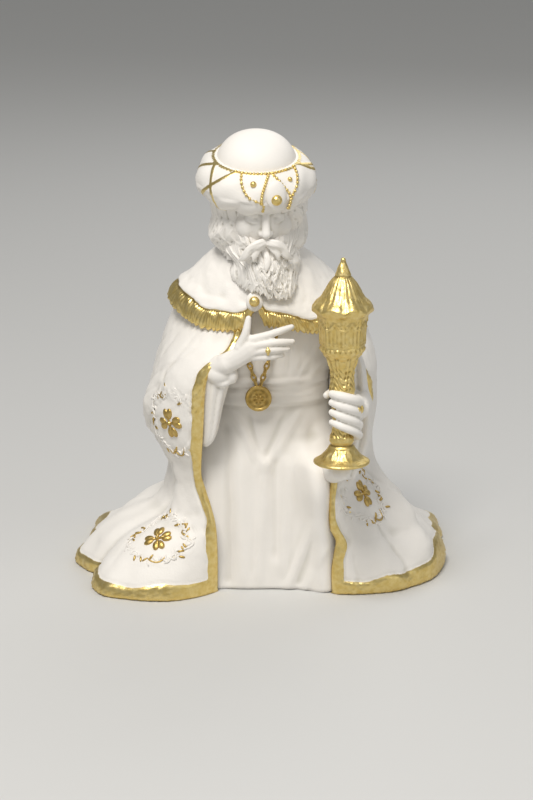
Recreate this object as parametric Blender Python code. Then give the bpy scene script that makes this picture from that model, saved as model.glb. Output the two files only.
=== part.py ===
"""A kneeling nativity wise man in white bisque porcelain, with a gilt covered chalice in his left hand.

The figure faces -Y, with his right hand towards -X, and stands on the floor plane z = 0. It is one
porcelain solid. The chalice is a second casting that stands on a small stud and passes through his fist.
"""

import math

import bmesh
import bpy
import numpy as np
from mathutils import Euler

# The figure, in metres. Its pose and carving are shares of its height.
FIGURE_HEIGHT = 0.198
SHARES = 198
U = FIGURE_HEIGHT / SHARES

# The chalice, in metres, from its foot up.
FOOT_RADIUS = 0.0116
FOOT_HEIGHT = 0.0072
KNOP_RADIUS = 0.0050
KNOP_HEIGHT = 0.0052
STEM_RADIUS = 0.0041
STEM_HEIGHT = 0.0190
BOWL_HEIGHT = 0.0165
DRUM_RADIUS = 0.0093
DRUM_HEIGHT = 0.0157
LID_RADIUS = 0.0126
LID_HEIGHT = 0.0150
FINIAL_RADIUS = 0.0030
FINIAL_HEIGHT = 0.0075
SEAT_GAP = 0.0003
CHALICE_RIBS = 8

# How finely the porcelain is cut, in metres, and how many faces it keeps.
GRAIN = 0.0010
KEPT_SHARE = 0.030
SOFTENING = 3
SOFTENING_SHARE = 0.4

# Where the fist closes on the chalice's axis.
GRIP = np.array((30.8, -66.0, 87.0)) * U
FOOT_Z = GRIP[2] - FOOT_HEIGHT - KNOP_HEIGHT - STEM_HEIGHT / 2
FINGER_RADIUS = 2.05 * U


def clear_scene():
    for item in list(bpy.data.objects):
        bpy.data.objects.remove(item, do_unlink=True)


def through(stops, at):
    """The value at each place of the smooth curve through (place, value) stops, without overshoot."""
    places = np.array([stop[0] for stop in stops], float)
    values = np.array([stop[1] for stop in stops], float)
    steps = np.diff(places)
    rises = np.diff(values) / steps
    slopes = np.zeros_like(values)
    before, after = rises[:-1], rises[1:]
    same = before * after > 0
    near, far = 2 * steps[1:] + steps[:-1], steps[1:] + 2 * steps[:-1]
    with np.errstate(divide="ignore", invalid="ignore"):
        slopes[1:-1] = np.where(same, (near + far) / (near / before + far / after), 0)
    slopes[0], slopes[-1] = rises[0], rises[-1]
    at = np.clip(np.asarray(at, float), places[0], places[-1])
    k = np.clip(np.searchsorted(places, at, side="right") - 1, 0, len(steps) - 1)
    t = (at - places[k]) / steps[k]
    return (
        values[k] * (1 + 2 * t) * (1 - t) ** 2
        + slopes[k] * steps[k] * t * (1 - t) ** 2
        + values[k + 1] * t * t * (3 - 2 * t)
        - slopes[k + 1] * steps[k] * t * t * (1 - t)
    )


def curve_points(points, count):
    """Evenly spread points on the smooth curve through a few points."""
    points = np.asarray(points, float)
    run = np.concatenate([[0], np.cumsum(np.linalg.norm(np.diff(points, axis=0), axis=1))])
    slopes = np.gradient(points, run, axis=0)
    at = np.linspace(0, run[-1], count)
    k = np.clip(np.searchsorted(run, at, side="right") - 1, 0, len(run) - 2)
    step = (run[k + 1] - run[k])[:, None]
    t = (at - run[k])[:, None] / step
    return (
        points[k] * (1 + 2 * t) * (1 - t) ** 2
        + slopes[k] * step * t * (1 - t) ** 2
        + points[k + 1] * t * t * (3 - 2 * t)
        - slopes[k + 1] * step * t * t * (1 - t)
    )


def bump(x, width):
    """A rounded ridge of height 1, width wide to each side."""
    return np.exp(-((x / width) ** 2))


def smooth_step(low, high, x):
    t = np.clip((x - low) / (high - low), 0, 1)
    return t * t * (3 - 2 * t)


class Clay:
    """Closed shells gathered into one body. Shapes are given in shares of the figure's height."""

    def __init__(self):
        self.points = []
        self.faces = []
        self.count = 0

    def add(self, points, faces):
        self.points.append(np.asarray(points, float))
        self.faces += [tuple(i + self.count for i in face) for face in faces]
        self.count += len(points)

    def loft(self, rings):
        """A skin over closed rings of equal size, with a cap on the first and on the last."""
        rings = np.asarray(rings, float)
        levels, around = rings.shape[:2]
        faces = []
        for i in range(levels - 1):
            for j in range(around):
                k = (j + 1) % around
                faces.append((i * around + j, i * around + k, (i + 1) * around + k, (i + 1) * around + j))
        faces.append(tuple(range(around))[::-1])
        faces.append(tuple(range((levels - 1) * around, levels * around)))
        self.add(rings.reshape(-1, 3), faces)

    def tube(self, path, radii, sides=10, steps=14, flat=1.0, across=(0, 0, 1)):
        """A tube with round ends along a smooth curve. flat thins it along the across direction."""
        line = curve_points(path, steps)
        radius = through(list(zip(np.linspace(0, 1, len(radii)), radii)), np.linspace(0, 1, steps))
        ways = np.gradient(line, axis=0)
        ways /= np.linalg.norm(ways, axis=1)[:, None]
        line = np.vstack([
            [line[0] - ways[0] * radius[0] * s for s in (0.98, 0.75, 0.4)],
            line,
            [line[-1] + ways[-1] * radius[-1] * s for s in (0.4, 0.75, 0.98)],
        ])
        ways = np.vstack([[ways[0]] * 3, ways, [ways[-1]] * 3])
        radius = np.concatenate([
            radius[0] * np.array((0.2, 0.66, 0.92)), radius, radius[-1] * np.array((0.92, 0.66, 0.2)),
        ])
        rings = []
        thin = np.asarray(across, float)
        for centre, way, size in zip(line, ways, radius):
            side = np.cross(way, thin)
            side /= max(np.linalg.norm(side), 1e-9)
            up = np.cross(side, way)
            turn = np.linspace(0, 2 * math.pi, sides, endpoint=False)[:, None]
            rings.append(centre + size * (np.cos(turn) * side + flat * np.sin(turn) * up))
        self.loft(rings)

    def egg(self, centre, radii, turned=None, sides=20):
        """An ellipsoid, turned by a matrix if one is given."""
        rise = np.linspace(-math.pi / 2 + 0.06, math.pi / 2 - 0.06, sides // 2)
        turn = np.linspace(0, 2 * math.pi, sides, endpoint=False)
        rings = np.stack([
            np.stack([
                np.cos(a) * np.cos(turn) * radii[0],
                np.cos(a) * np.sin(turn) * radii[1],
                np.full(sides, math.sin(a) * radii[2]),
            ], axis=1)
            for a in rise
        ])
        if turned is not None:
            rings = rings @ np.array(turned).T
        self.loft(rings + np.asarray(centre, float))

    def body(self, name):
        """The gathered shells as one object, in metres."""
        mesh = bpy.data.meshes.new(name)
        mesh.from_pydata(np.vstack(self.points) * U, [], self.faces)
        shape = bmesh.new()
        shape.from_mesh(mesh)
        bmesh.ops.recalc_face_normals(shape, faces=shape.faces)
        shape.to_mesh(mesh)
        shape.free()
        made = bpy.data.objects.new(name, mesh)
        bpy.context.scene.collection.objects.link(made)
        return made


# The mantle's outline at each height: half-widths, depths and how square the section is.
MANTLE_TOP = 132
RIGHT_SIDE = [(-4, 78), (0, 80), (4, 79.5), (10, 76), (17, 70), (22, 63), (25.5, 55), (29, 48),
              (37, 42.5), (45, 41), (55, 44), (67, 50), (77, 51.5), (90, 49), (100, 46), (118, 39),
              (132, 28)]
LEFT_SIDE = [(-4, 74), (0, 77), (6, 77), (14, 74), (20, 69), (24, 64.5), (29, 62), (34, 57), (40, 51),
             (46, 46), (52, 44), (60, 45), (76, 47.5), (92, 47.5), (101, 45.5), (118, 38), (132, 28)]
FRONT_SIDE = [(-4, 47), (0, 47), (10, 46.5), (40, 46), (60, 48), (80, 51.5), (96, 53.5), (102, 51.8),
              (106, 48.6), (112, 44), (118, 41.5), (132, 30)]
BACK_SIDE = [(-4, 66), (0, 68), (5, 67), (14, 60), (26, 50), (44, 38), (64, 27), (88, 21), (110, 17),
             (132, 10)]
SQUARENESS = [(-4, 2.5), (10, 2.5), (40, 2.9), (90, 3.0), (110, 2.5), (132, 2.2)]
# How far out the hem lies on the floor at each azimuth, 0 in front and 90 on his right.
FLOOR_REACH = [(0, 44), (27, 46), (31, 55), (37, 66), (44, 72.5), (50, 78), (57, 83.5), (63, 83),
               (69, 80), (75, 78), (80, 79.5), (87, 81.5), (96, 82), (106, 84), (118, 89), (130, 94),
               (141, 91), (153, 83), (166, 76), (180, 72), (194, 76), (207, 83), (220, 92), (231, 96),
               (242, 90), (254, 83.5), (270, 78.5), (289, 75.5), (303, 69), (317, 60.5), (326, 53),
               (331, 48), (360, 44)]
FLARE_TOP = 34
# Where the mantle's two front edges hang, as x at each height.
RIGHT_HAND_EDGE = [(-4, -21.6), (14, -21.5), (24, -21.7), (31, -22.4), (38, -24.2), (45, -26.5),
                   (53, -28.5), (67, -27.7), (78, -27.0), (91, -26.2), (97, -25), (101, -22), (105, -17),
                   (108, -12.8), (112, -11), (118, -10), (132, -8)]
LEFT_HAND_EDGE = [(-4, 29), (9, 28.5), (18, 29.5), (23, 30.3), (29, 27.8), (35, 27.3), (51, 28.2),
                  (57, 33), (66, 39.5), (82, 43.4), (90, 42.5), (95, 40.5), (100, 37.5), (105, 33),
                  (110, 29), (116, 24), (132, 8)]
SHEET = 3.6
LINING_DEPTH = 0.74
# How far from the front edges the lining starts to thicken, and where it is full.
LINING_START, LINING_FULL = 9, 30
# Folds that stand out of the mantle: (azimuth and height at the top, at the foot, half-width, height).
MANTLE_FOLDS = [
    (62, 92, 80, 60, 5.5, 2.6),
    (98, 70, 60, 56, 4.5, -3.2),
    (56, 60, 44, 8, 7.0, 1.6),
    (66, 58, 76, -4, 4.5, -3.4),
    (94, 60, 90, 2, 6.0, 2.4),
    (118, 96, 104, 0, 6.5, -3.0),
    (135, 110, 126, 2, 7.0, 3.6),
    (158, 118, 150, 0, 6.0, -3.4),
    (176, 118, 176, 0, 7.5, 3.6),
    (200, 118, 204, 0, 6.0, -3.6),
    (222, 112, 232, 4, 7.0, 3.6),
    (244, 100, 252, 0, 6.0, -3.4),
    (262, 70, 262, 10, 5.5, -3.8),
    (276, 60, 288, 22, 6.5, 3.6),
    (300, 62, 300, 22, 6.0, -2.0),
    (318, 44, 306, 4, 6.0, 1.6),
]


def fold_lift(turn, height, reach, folds):
    """How far the folds lift the surface at an azimuth in degrees and a height."""
    lift = np.zeros_like(turn)
    for turn_top, top, turn_foot, foot, width, rise in folds:
        share = np.clip((top - height) / (top - foot), 0, 1)
        line = turn_top + (turn_foot - turn_top) * share
        apart = np.radians(turn - line) * reach
        fade = smooth_step(top + 8, top - 14, height) * smooth_step(foot - 18, foot + 2, height)
        lift += rise * fade * bump(apart, width)
    return lift


def oval(turn, height):
    """The reach of the mantle's plain section at an azimuth in degrees and a height."""
    angle = np.radians(turn)
    sideways, forward = np.sin(angle), np.cos(angle)
    wide = np.where(sideways > 0, through(RIGHT_SIDE, height), through(LEFT_SIDE, height))
    deep = np.where(forward > 0, through(FRONT_SIDE, height), through(BACK_SIDE, height))
    power = through(SQUARENESS, height)
    return (np.abs(sideways / wide) ** power + np.abs(forward / deep) ** power) ** (-1 / power)


def flared(turn, height):
    """The reach of the section that spreads towards the floor into the hem's own outline."""
    tall = FLARE_TOP * (0.45 + 0.55 * smooth_step(-0.3, 0.5, np.cos(np.radians(turn))))
    spread = through(FLOOR_REACH, turn) - oval(turn, 0 * height)
    return oval(turn, height) + spread * smooth_step(1, 0, height / tall)


def mantle_reach(turn, height):
    """The mantle's outer radius at an azimuth in degrees, 0 in front and 90 on his right, and a height."""
    reach = flared(turn, height)
    return reach + fold_lift(turn, height, reach, MANTLE_FOLDS)


def edge_azimuth(stops, height, side):
    """The azimuth from the front where the mantle reaches an edge's x. side is 1 on his right, or else -1."""
    x = np.abs(through(stops, height))
    low, high = 0 * x, 80 + 0 * x
    for _ in range(30):
        turn = (low + high) / 2
        beyond = flared(side * turn % 360, height) * np.sin(np.radians(turn)) > x
        low, high = np.where(beyond, low, turn), np.where(beyond, turn, high)
    return (low + high) / 2


def mantle(clay, around=96, levels=70):
    """The cloak that falls from the shoulders over both forearms to the floor and opens in front."""
    height = np.linspace(-4, MANTLE_TOP, levels)[:, None]
    first = edge_azimuth(RIGHT_HAND_EDGE, height, 1)
    last = 360 - edge_azimuth(LEFT_HAND_EDGE, height, -1)
    spread = np.linspace(0, 1, around)[None, :]
    turn = first + (last - first) * (spread - 0.07 * np.sin(2 * math.pi * spread))
    outer = mantle_reach(turn, height + 0 * turn)
    from_edge = np.minimum(turn - first, last - turn) * math.pi / 180 * outer
    thick = SHEET + (outer * LINING_DEPTH - SHEET) * smooth_step(LINING_START, LINING_FULL, from_edge)
    inner = outer - thick
    lip = 0.9 * np.clip(1 - (from_edge / 1.6) ** 2, 0, 1)
    reach = np.concatenate([outer - lip, (inner + lip)[:, ::-1]], axis=1)
    angle = np.radians(np.concatenate([turn, turn[:, ::-1]], axis=1))
    clay.loft(np.stack([-reach * np.sin(angle), -reach * np.cos(angle), height + 0 * reach], axis=-1))


# The tunic's outline at each height, seen from the front, with its front and back.
TUNIC_HALF = [(-4, 40), (0, 40), (14, 39), (40, 36), (60, 32), (74, 27), (86, 25.5), (100, 29),
              (118, 30), (134, 22), (146, 12)]
TUNIC_FRONT = [(-4, 38), (0, 38), (10, 37.5), (30, 36.5), (52, 35), (74, 31.5), (86, 33), (96, 34),
               (112, 36), (122, 36), (134, 34), (146, 30)]
TUNIC_BACK = [(-4, 30), (60, 24), (110, 14), (134, 8), (146, 0)]
TUNIC_SQUARE = [(-4, 3.6), (50, 3.4), (84, 2.6), (146, 2.4)]
SASH_FOOT, SASH_TOP = 80.5, 92.0
SASH_RISE = 0.6
PLEATS_TOP = 118
PLEAT_RISE = 0.4
PLEAT_WIDTH = 1.6
TUNIC_MIDDLE = 0.5
# The raised left knee under the chalice: how far it stands forward at each height, and its x and half-width.
KNEE_RISE = [(-4, 5.5), (10, 6.5), (30, 9.0), (48, 13.0), (55, 12.0), (61, 5.0), (66, 0)]
KNEE_TOP, KNEE_FOOT, KNEE_HALF = 20.5, 25.5, 7.5
# Folds of the skirt, as x at the top and at the foot, the heights of both, half-width and height.
SKIRT_FOLDS = [
    (-15, 79, -3, 56, 2.3, 1.1),
    (-9, 79, -4, 58, 1.7, -0.8),
    (14, 79, 1, 56, 2.3, 1.1),
    (8, 79, 0, 60, 1.7, -0.8),
    (-1, 60, -4, 6, 2.4, 0.8),
    (3, 62, 3, 16, 2.1, -0.8),
    (8, 60, 6, 10, 2.7, 0.8),
    (-18, 74, -18, 4, 2.8, -1.2),
    (-11, 68, -11, 6, 3.0, 0.8),
    (19, 74, 20, 10, 3.2, -1.2),
    (-27, 74, -25, 0, 4.0, 2.5),
    (20, 34, 9, 3, 1.8, 1.0),
    (22, 27, 13, 2, 1.4, -0.8),
    (25, 22, 16, 1, 1.6, 1.0),
    (26, 113, 13, 93, 1.5, 0.4),
    (31, 105, 18, 93, 1.4, 0.4),
    (22, 117, 10, 94, 1.6, 0.35),
]


def tunic_relief(x, height):
    """How far the pleats, the sash and the skirt's folds stand out of the tunic's front."""
    sash = smooth_step(SASH_FOOT - 0.8, SASH_FOOT + 0.8, height)
    sash = sash * smooth_step(SASH_TOP + 0.8, SASH_TOP - 0.8, height)
    lift = sash * SASH_RISE
    pleats = smooth_step(SASH_TOP, SASH_TOP + 3, height) * smooth_step(PLEATS_TOP + 10, PLEATS_TOP, height)
    lift += pleats * PLEAT_RISE * np.sin(x / PLEAT_WIDTH)
    for x_top, top, x_foot, foot, width, rise in SKIRT_FOLDS:
        share = np.clip((top - height) / (top - foot), 0, 1)
        fade = smooth_step(top + 1, top - 6, height) * smooth_step(foot - 6, foot + 2, height)
        lift += rise * fade * bump(x - (x_top + (x_foot - x_top) * share), width)
    return lift


def knee_rise(x, height):
    """How far the raised knee pushes the skirt forward."""
    knee = KNEE_FOOT + (KNEE_TOP - KNEE_FOOT) * np.clip(height / 60, 0, 1)
    return through(KNEE_RISE, height) * bump(x - knee, KNEE_HALF)


def tunic(clay, around=110, levels=80):
    """The long belted tunic and the body under it."""
    height = np.linspace(-4, 146, levels)[:, None]
    angle = np.linspace(0, 2 * math.pi, around, endpoint=False)[None, :]
    forward, sideways = np.cos(angle), np.sin(angle)
    deep = np.where(forward > 0, through(TUNIC_FRONT, height) - 8, through(TUNIC_BACK, height) + 8)
    wide = through(TUNIC_HALF, height)
    power = through(TUNIC_SQUARE, height)
    reach = (np.abs(sideways / wide) ** power + np.abs(forward / deep) ** power) ** (-1 / power)
    x, y = -reach * sideways, -reach * forward
    level = height + 0 * x
    front = smooth_step(-0.05, 0.1, forward)
    lift = tunic_relief(x, level) * front
    knee = knee_rise(x, level) * front
    clay.loft(np.stack([x + TUNIC_MIDDLE - lift * sideways, y - 8 - lift * forward - knee, level], axis=-1))


# The shoulder cape, with its fringe, falls from the collar. Heights of its lower edge by azimuth.
COLLAR = (-2.5, -22.0, 151.0)
COLLAR_RADIUS = 12.5
CAPE_MIDDLE = (-0.5, -12.0)
CAPE_LEFT, CAPE_RIGHT, CAPE_FRONT, CAPE_BACK = 41.0, 41.5, 31.5, 29.0
CAPE_EDGE = [(-180, 119), (-130, 121), (-90, 120), (-62, 115.5), (-38, 114.4), (-20, 116.2), (-8, 117.4),
             (0, 117.5), (12, 117), (28, 115.5), (45, 116), (62, 119.5), (90, 124), (135, 122),
             (180, 119)]
FRINGE = 8.0
CLASP = (-5.0, -44.5, 128.0)


def cape_edge(turn):
    """The height of the cape's lower edge, with the small opening under the clasp."""
    return through(CAPE_EDGE, turn) + 8 * bump(turn - 7, 4.5)


def cape_point(turn, share):
    """A point of the cape's outside, share of the way from the collar to the lower edge."""
    angle = np.radians(turn)
    sideways, forward = np.sin(angle), np.cos(angle)
    wide = np.where(sideways > 0, CAPE_LEFT, CAPE_RIGHT)
    deep = np.where(forward > 0, CAPE_FRONT, CAPE_BACK)
    reach = (np.abs(sideways / wide) ** 2.2 + np.abs(forward / deep) ** 2.2) ** (-1 / 2.2)
    out = COLLAR_RADIUS + (reach - COLLAR_RADIUS) * (1 - (1 - share) ** 1.25)
    x = COLLAR[0] + (CAPE_MIDDLE[0] - COLLAR[0]) * share - out * sideways
    y = COLLAR[1] + (CAPE_MIDDLE[1] - COLLAR[1]) * share - out * forward
    z = COLLAR[2] + (cape_edge(turn) - COLLAR[2]) * share
    return np.stack([x, y, z], axis=-1)


def cape(clay, around=96):
    """A short cape over the shoulders. Its skin is one closed profile swept round."""
    turn = np.linspace(-180, 180, around, endpoint=False)
    centre = np.array((COLLAR[0], COLLAR[1]))
    rings = []
    fringe = FRINGE / 36
    for share in (0.0, 0.2, 0.4, 0.6, 1 - fringe, 1 - fringe + 0.03, 0.92, 1.0):
        ring = cape_point(turn, np.full(around, share))
        if share > 1 - fringe:
            ring[:, :2] += (centre - ring[:, :2]) * 0.018
        rings.append(ring)
    for inward, up in ((0.05, -0.6), (0.12, 0.4), (0.5, 3.0)):
        ring = cape_point(turn, np.ones(around))
        ring[:, :2] += (centre - ring[:, :2]) * inward
        ring[:, 2] += up
        rings.append(ring)
    clay.loft(rings)


def clasp(clay):
    """The round clasp at the throat: a bead in an oval setting."""
    x, y, z = CLASP
    clay.egg((x, y + 0.6, z), (3.6, 1.6, 4.2))
    clay.egg((x, y - 1.0, z + 0.4), (2.3, 2.0, 2.3), sides=14)


# The head, as its own frame: x towards his left, y back and z up from the middle of the skull.
HEAD = np.array((-2.8, -31.0, 166.0))
HEAD_TURN = math.radians(9)
HEAD_BOW = math.radians(14)
HEAD_FRAME = np.array(Euler((HEAD_BOW, 0, HEAD_TURN)).to_matrix())


def on_head(*points):
    """Points of the head's own frame, as points of the figure."""
    return np.asarray(points, float) @ HEAD_FRAME.T + HEAD


def face(clay):
    """A calm, plain face on even proportions, under the turban's rim."""
    clay.egg(on_head((0, 1, 3))[0], (13.5, 15, 17), HEAD_FRAME)
    clay.egg(on_head((0, -5, -3))[0], (12, 12, 15), HEAD_FRAME)
    clay.tube(on_head((0, -15.4, 3.8), (0, -17.4, -0.5), (0, -19.2, -4.6)), (1.7, 1.7, 2.2))
    for side in (-1, 1):
        brow = ((side * 1.6, -15.6, 4.6), (side * 5.6, -15.0, 5.6), (side * 9.6, -11.8, 4.2))
        clay.tube(on_head(*brow), (1.5, 1.9, 1.3))
        clay.egg(on_head((side * 5.0, -13.4, 0.9))[0], (3.0, 2.4, 1.9), HEAD_FRAME, sides=12)
        clay.egg(on_head((side * 6.4, -11.0, -4.2))[0], (5.4, 4.7, 5.6), HEAD_FRAME, sides=16)
        clay.egg(on_head((side * 2.0, -17.6, -5.0))[0], (1.5, 1.8, 1.4), HEAD_FRAME, sides=10)
    clay.tube(on_head((-2.4, -16.6, -10.2), (0, -17.8, -10.5), (2.4, -16.6, -10.2)), (1.0, 1.4, 1.0))
    clay.tube(on_head((0, 4, -8), (0, 8, -26)), (11, 12))


# The beard's half-width, front and lean to his left at each height of the head's frame.
BEARD_HALF = [(-36, 16.0), (-32, 15.2), (-26, 13.8), (-20, 13.6), (-12, 14.8), (-5, 15.2), (0, 14.6),
              (8, 13.2)]
BEARD_FRONT = [(-36, 22.5), (-32, 23.2), (-24, 22.6), (-16, 19.8), (-9, 16.8), (-1, 12.4), (8, 10.6)]
BEARD_LEAN = [(-36, 3.6), (-26, 2.4), (-15, 0.8), (-6, 0.0)]
BEARD_FOOT = -33.6
BEARD_ROUND = 11.5
# The hair's reach by azimuth, its top and foot, and the azimuth where it starts beside the face.
HAIR_REACH = [(38, 14.6), (52, 17.2), (75, 18.6), (95, 18.6), (140, 18.0), (180, 17.6)]
HAIR_TOP, HAIR_FOOT = 12.0, -21.0
HAIR_START = 40
LOCK_WIDTH = 4.4
LOCK_RISE = 0.8


def wavy(across, down):
    """The rise and fall of coarse wavy locks at places in shares."""
    return LOCK_RISE * np.sin(2 * math.pi * (across + 1.5 * np.sin(down / 2)) / LOCK_WIDTH)


def beard(clay, around=90, levels=30, behind=12):
    """A full wavy beard, broad from the cheeks down, with a moustache over it."""
    share = np.linspace(-1, 1, around)[None, :]
    run = np.linspace(0, 1, levels)[:, None]
    top = -9 + 16 * np.abs(share) ** 1.5
    z = top + (BEARD_FOOT + 2.0 * share ** 4 - top) * run
    out = np.stack([0.9 * share * np.abs(share) ** 1.5 + 0 * z, -1 + 0 * z, 0.15 + 0 * z], axis=-1)
    out /= np.linalg.norm(out, axis=-1)[..., None]
    front = through(BEARD_FRONT, z) - 5.0 * smooth_step(0.88, 1, run) - 1.2 * smooth_step(0.12, 0, run)
    rise = (0.7 + wavy(15.5 * share, 34 * run)) * smooth_step(0, 0.16, run)
    skin = np.stack([
        through(BEARD_HALF, z) * share + through(BEARD_LEAN, z),
        BEARD_ROUND * np.abs(share) ** 2.4 - front,
        z,
    ], axis=-1) + out * rise[..., None]
    pick = np.linspace(around - 1, 0, behind).round().astype(int)
    back = skin[:, pick].copy()
    back[..., 1] = BEARD_ROUND - front[:, pick] + 3 + 4 * np.sqrt(1 - run)
    clay.loft([on_head(*ring) for ring in np.concatenate([skin, back], axis=1)])
    for side in (-1, 1):
        path = ((side * 0.2, -18.8, -7.8), (side * 3.4, -19.8, -8.4), (side * 6.8, -19.4, -10.8),
                (side * 8.8, -19.6, -14.0), (side * 11.4, -18.8, -16.0))
        clay.tube(on_head(*path), (1.2, 1.9, 1.7, 0.7), steps=18)
        path = ((side * 0.8, -18.8, -9.0), (side * 3.9, -20.2, -11.4), (side * 5.4, -21.2, -15.4))
        clay.tube(on_head(*path), (1.0, 1.3, 0.7))


def hair(clay, around=90, levels=26, within=16):
    """Long wavy hair that falls from under the turban beside the face and behind."""
    turn = np.linspace(HAIR_START, 360 - HAIR_START, around)[None, :]
    run = np.linspace(0, 1, levels)[:, None]
    z = HAIR_TOP + (HAIR_FOOT - HAIR_TOP) * run + 0 * turn
    reach = through(HAIR_REACH, 180 - np.abs(180 - turn)) - 1.5 * smooth_step(0.25, 0, run)
    wave = 0.9 * np.sin(z * 0.42 + 1.4 * np.sin(np.radians(turn) * 5))
    reach = reach - 2.5 * smooth_step(0.7, 1, run) + wave
    outer = reach + 0.6 + wavy(np.radians(turn) * 17.5, 33 * run)
    pick = np.linspace(around - 1, 0, within).round().astype(int)
    reach = np.concatenate([outer, reach[:, pick] - 4.5], axis=1)
    angle = np.radians(np.concatenate([turn, turn[:, pick]], axis=1)) + 0 * reach
    z = np.concatenate([z, z[:, pick]], axis=1)
    grid = np.stack([-reach * np.sin(angle), 1.5 - reach * np.cos(angle), z], axis=-1)
    clay.loft([on_head(*ring) for ring in grid])


# The turban, in its own frame in the middle of its roll.
TURBAN = np.array((-4.3, -30.0, 178.6))
TURBAN_FRAME = np.array(Euler((math.radians(15), math.radians(-1), math.radians(8))).to_matrix())
ROLL_RADIUS = 15.6
ROLL_OUT = 9.2
ROLL_UP = 9.0
CROWN_RADIUS = 17.6
CROWN_RISE = 18.6
CROWN_FULLNESS = 2.4


def on_turban(points):
    return np.asarray(points, float) @ TURBAN_FRAME.T + TURBAN


def roll_point(turn, rise, proud=0.0):
    """A point of the turban's roll, at an azimuth round the head and an angle up its section, in radians."""
    winding = 0.45 * np.sin(turn * 9 + rise * 2.2) * smooth_step(0.95, 0.5, np.sin(rise))
    out = ROLL_OUT + winding + proud
    up = ROLL_UP + winding + proud
    reach = ROLL_RADIUS + out * np.cos(rise)
    height = up * np.sin(rise) - 1.2 * np.cos(rise)
    return np.stack([-reach * np.sin(turn), -reach * np.cos(turn), height], axis=-1)


def turban(clay, around=72, section=20):
    """A thick wound roll round a smooth domed crown."""
    turns = np.linspace(0, 2 * math.pi, around, endpoint=False)
    rises = np.linspace(0, 2 * math.pi, section, endpoint=False)
    grid = np.array([[roll_point(t, r) for r in rises] for t in turns])
    points = on_turban(grid.reshape(-1, 3))
    faces = []
    for i in range(around):
        for j in range(section):
            n, m = (i + 1) % around, (j + 1) % section
            faces.append((i * section + j, n * section + j, n * section + m, i * section + m))
    clay.add(points, faces)
    rings = []
    for share in np.linspace(0.02, 1, 14):
        rise = CROWN_RISE * math.cos(share * math.pi / 2)
        reach = CROWN_RADIUS * (1 - (rise / CROWN_RISE) ** CROWN_FULLNESS) ** (1 / CROWN_FULLNESS)
        rings.append(np.stack([
            -reach * np.sin(turns), -reach * np.cos(turns), np.full(around, rise),
        ], axis=1))
    clay.loft([on_turban(ring) for ring in rings])


# His right arm: the sleeve that leaves the mantle at the wrist, and the hand laid on the breast.
RIGHT_WRIST = (-16.5, -50.2, 103.4)
# Each sleeve from its top: height, x, y, half-width and half-depth.
RIGHT_SLEEVE = [(100, -20.2, -45, 6.2, 4.8), (92, -21.2, -44, 5.2, 4.6), (84, -22.4, -43, 4.2, 4.2),
                (76, -23.2, -42, 3.4, 3.8), (70, -24.0, -41.4, 2.7, 3.2), (66.4, -24.9, -41, 1.9, 2.4),
                (64.8, -25.4, -40.8, 0.7, 0.9)]
LEFT_SLEEVE = [(107, 36.5, -42, 2.0, 4.5), (101, 36.8, -42, 4.0, 8.5), (92, 37.0, -42, 4.9, 10),
               (82, 38.2, -40, 6.0, 11), (70, 37.8, -38, 5.8, 11), (58, 35.5, -35, 4.8, 10),
               (50, 34, -33, 4.0, 9)]
# Each finger: knuckle, middle joint, tip and radius. The first is the thumb.
RIGHT_FINGERS = [
    ((-11.5, -51, 110.5), (-8.6, -51.6, 116.5), (-7.4, -51, 122.6), 1.75),
    ((-6.0, -51.6, 113.9), (3.0, -52.0, 116.6), (10.4, -50.4, 118.9), 1.6),
    ((-5.0, -52.4, 111.4), (3.6, -53.2, 112.9), (10.8, -51.4, 112.9), 1.6),
    ((-4.8, -52.4, 108.8), (3.0, -53.2, 109.8), (9.0, -51.4, 109.7), 1.5),
    ((-5.2, -51.8, 106.2), (1.4, -52.6, 106.6), (6.6, -51.2, 107.0), 1.4),
]


def hanging_sleeve(clay, stops, tilt=0.0):
    """A sleeve that hangs as a flat, rippled bag. Each stop is (height, x, y, half-width, half-depth)."""
    heights = np.linspace(stops[0][0], stops[-1][0], 24)
    turn = np.linspace(0, 2 * math.pi, 28, endpoint=False)
    rings = []
    for height in heights:
        x, y, half, deep = (through([(-stop[0], stop[i]) for stop in stops], -height) for i in (1, 2, 3, 4))
        ripple = 1 + 0.13 * np.sin(3 * turn + 1.5 + 0.02 * height) + 0.05 * np.sin(8 * turn + 0.03 * height)
        rings.append(np.stack([
            x + half * ripple * np.cos(turn),
            y + deep * ripple * np.sin(turn),
            height + tilt * half * np.cos(turn),
        ], axis=1))
    clay.loft(rings)


def right_arm(clay):
    """The right forearm, its wide under-sleeve, and the hand laid on the breast."""
    forearm = ((-38, -14, 86), (-30, -32, 93), (-22, -44, 99.5), (-16.5, -49.0, 103))
    clay.tube(forearm, (8, 7.2, 5.6, 4.4), sides=16)
    clay.egg((-19.4, -47.0, 97.8), (6.0, 4.4, 4.6))
    clay.tube(((-20, -48.4, 95.6), (-16.4, -49.6, 96.0), (-13.8, -49.2, 98.8)), (2.2, 2.6, 2.0))
    hanging_sleeve(clay, RIGHT_SLEEVE, tilt=0.15)
    palm = (RIGHT_WRIST, (-11.5, -51, 106.3), (-6.6, -51.6, 109.6))
    clay.tube(palm, (4.4, 4.3, 4.6), flat=0.62, across=(0, 1, 0))
    clay.tube(((-12.5, -50.6, 106.2), (-10.8, -51, 111.4)), (2.6, 2.0))
    for knuckle, joint, tip, radius in RIGHT_FINGERS:
        clay.tube((knuckle, joint, tip), (radius * 1.12, radius, radius * 0.8), sides=10)


# The fingers of his left hand close round the stem: heights at the knuckle and at the tip, from the grip.
LEFT_FINGERS = ((4.0, 7.4), (-0.8, 3.7), (-5.6, -0.4), (-10.0, -4.6))
FINGER_TURNS = (80, 52, 20, -12, -46)


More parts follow.
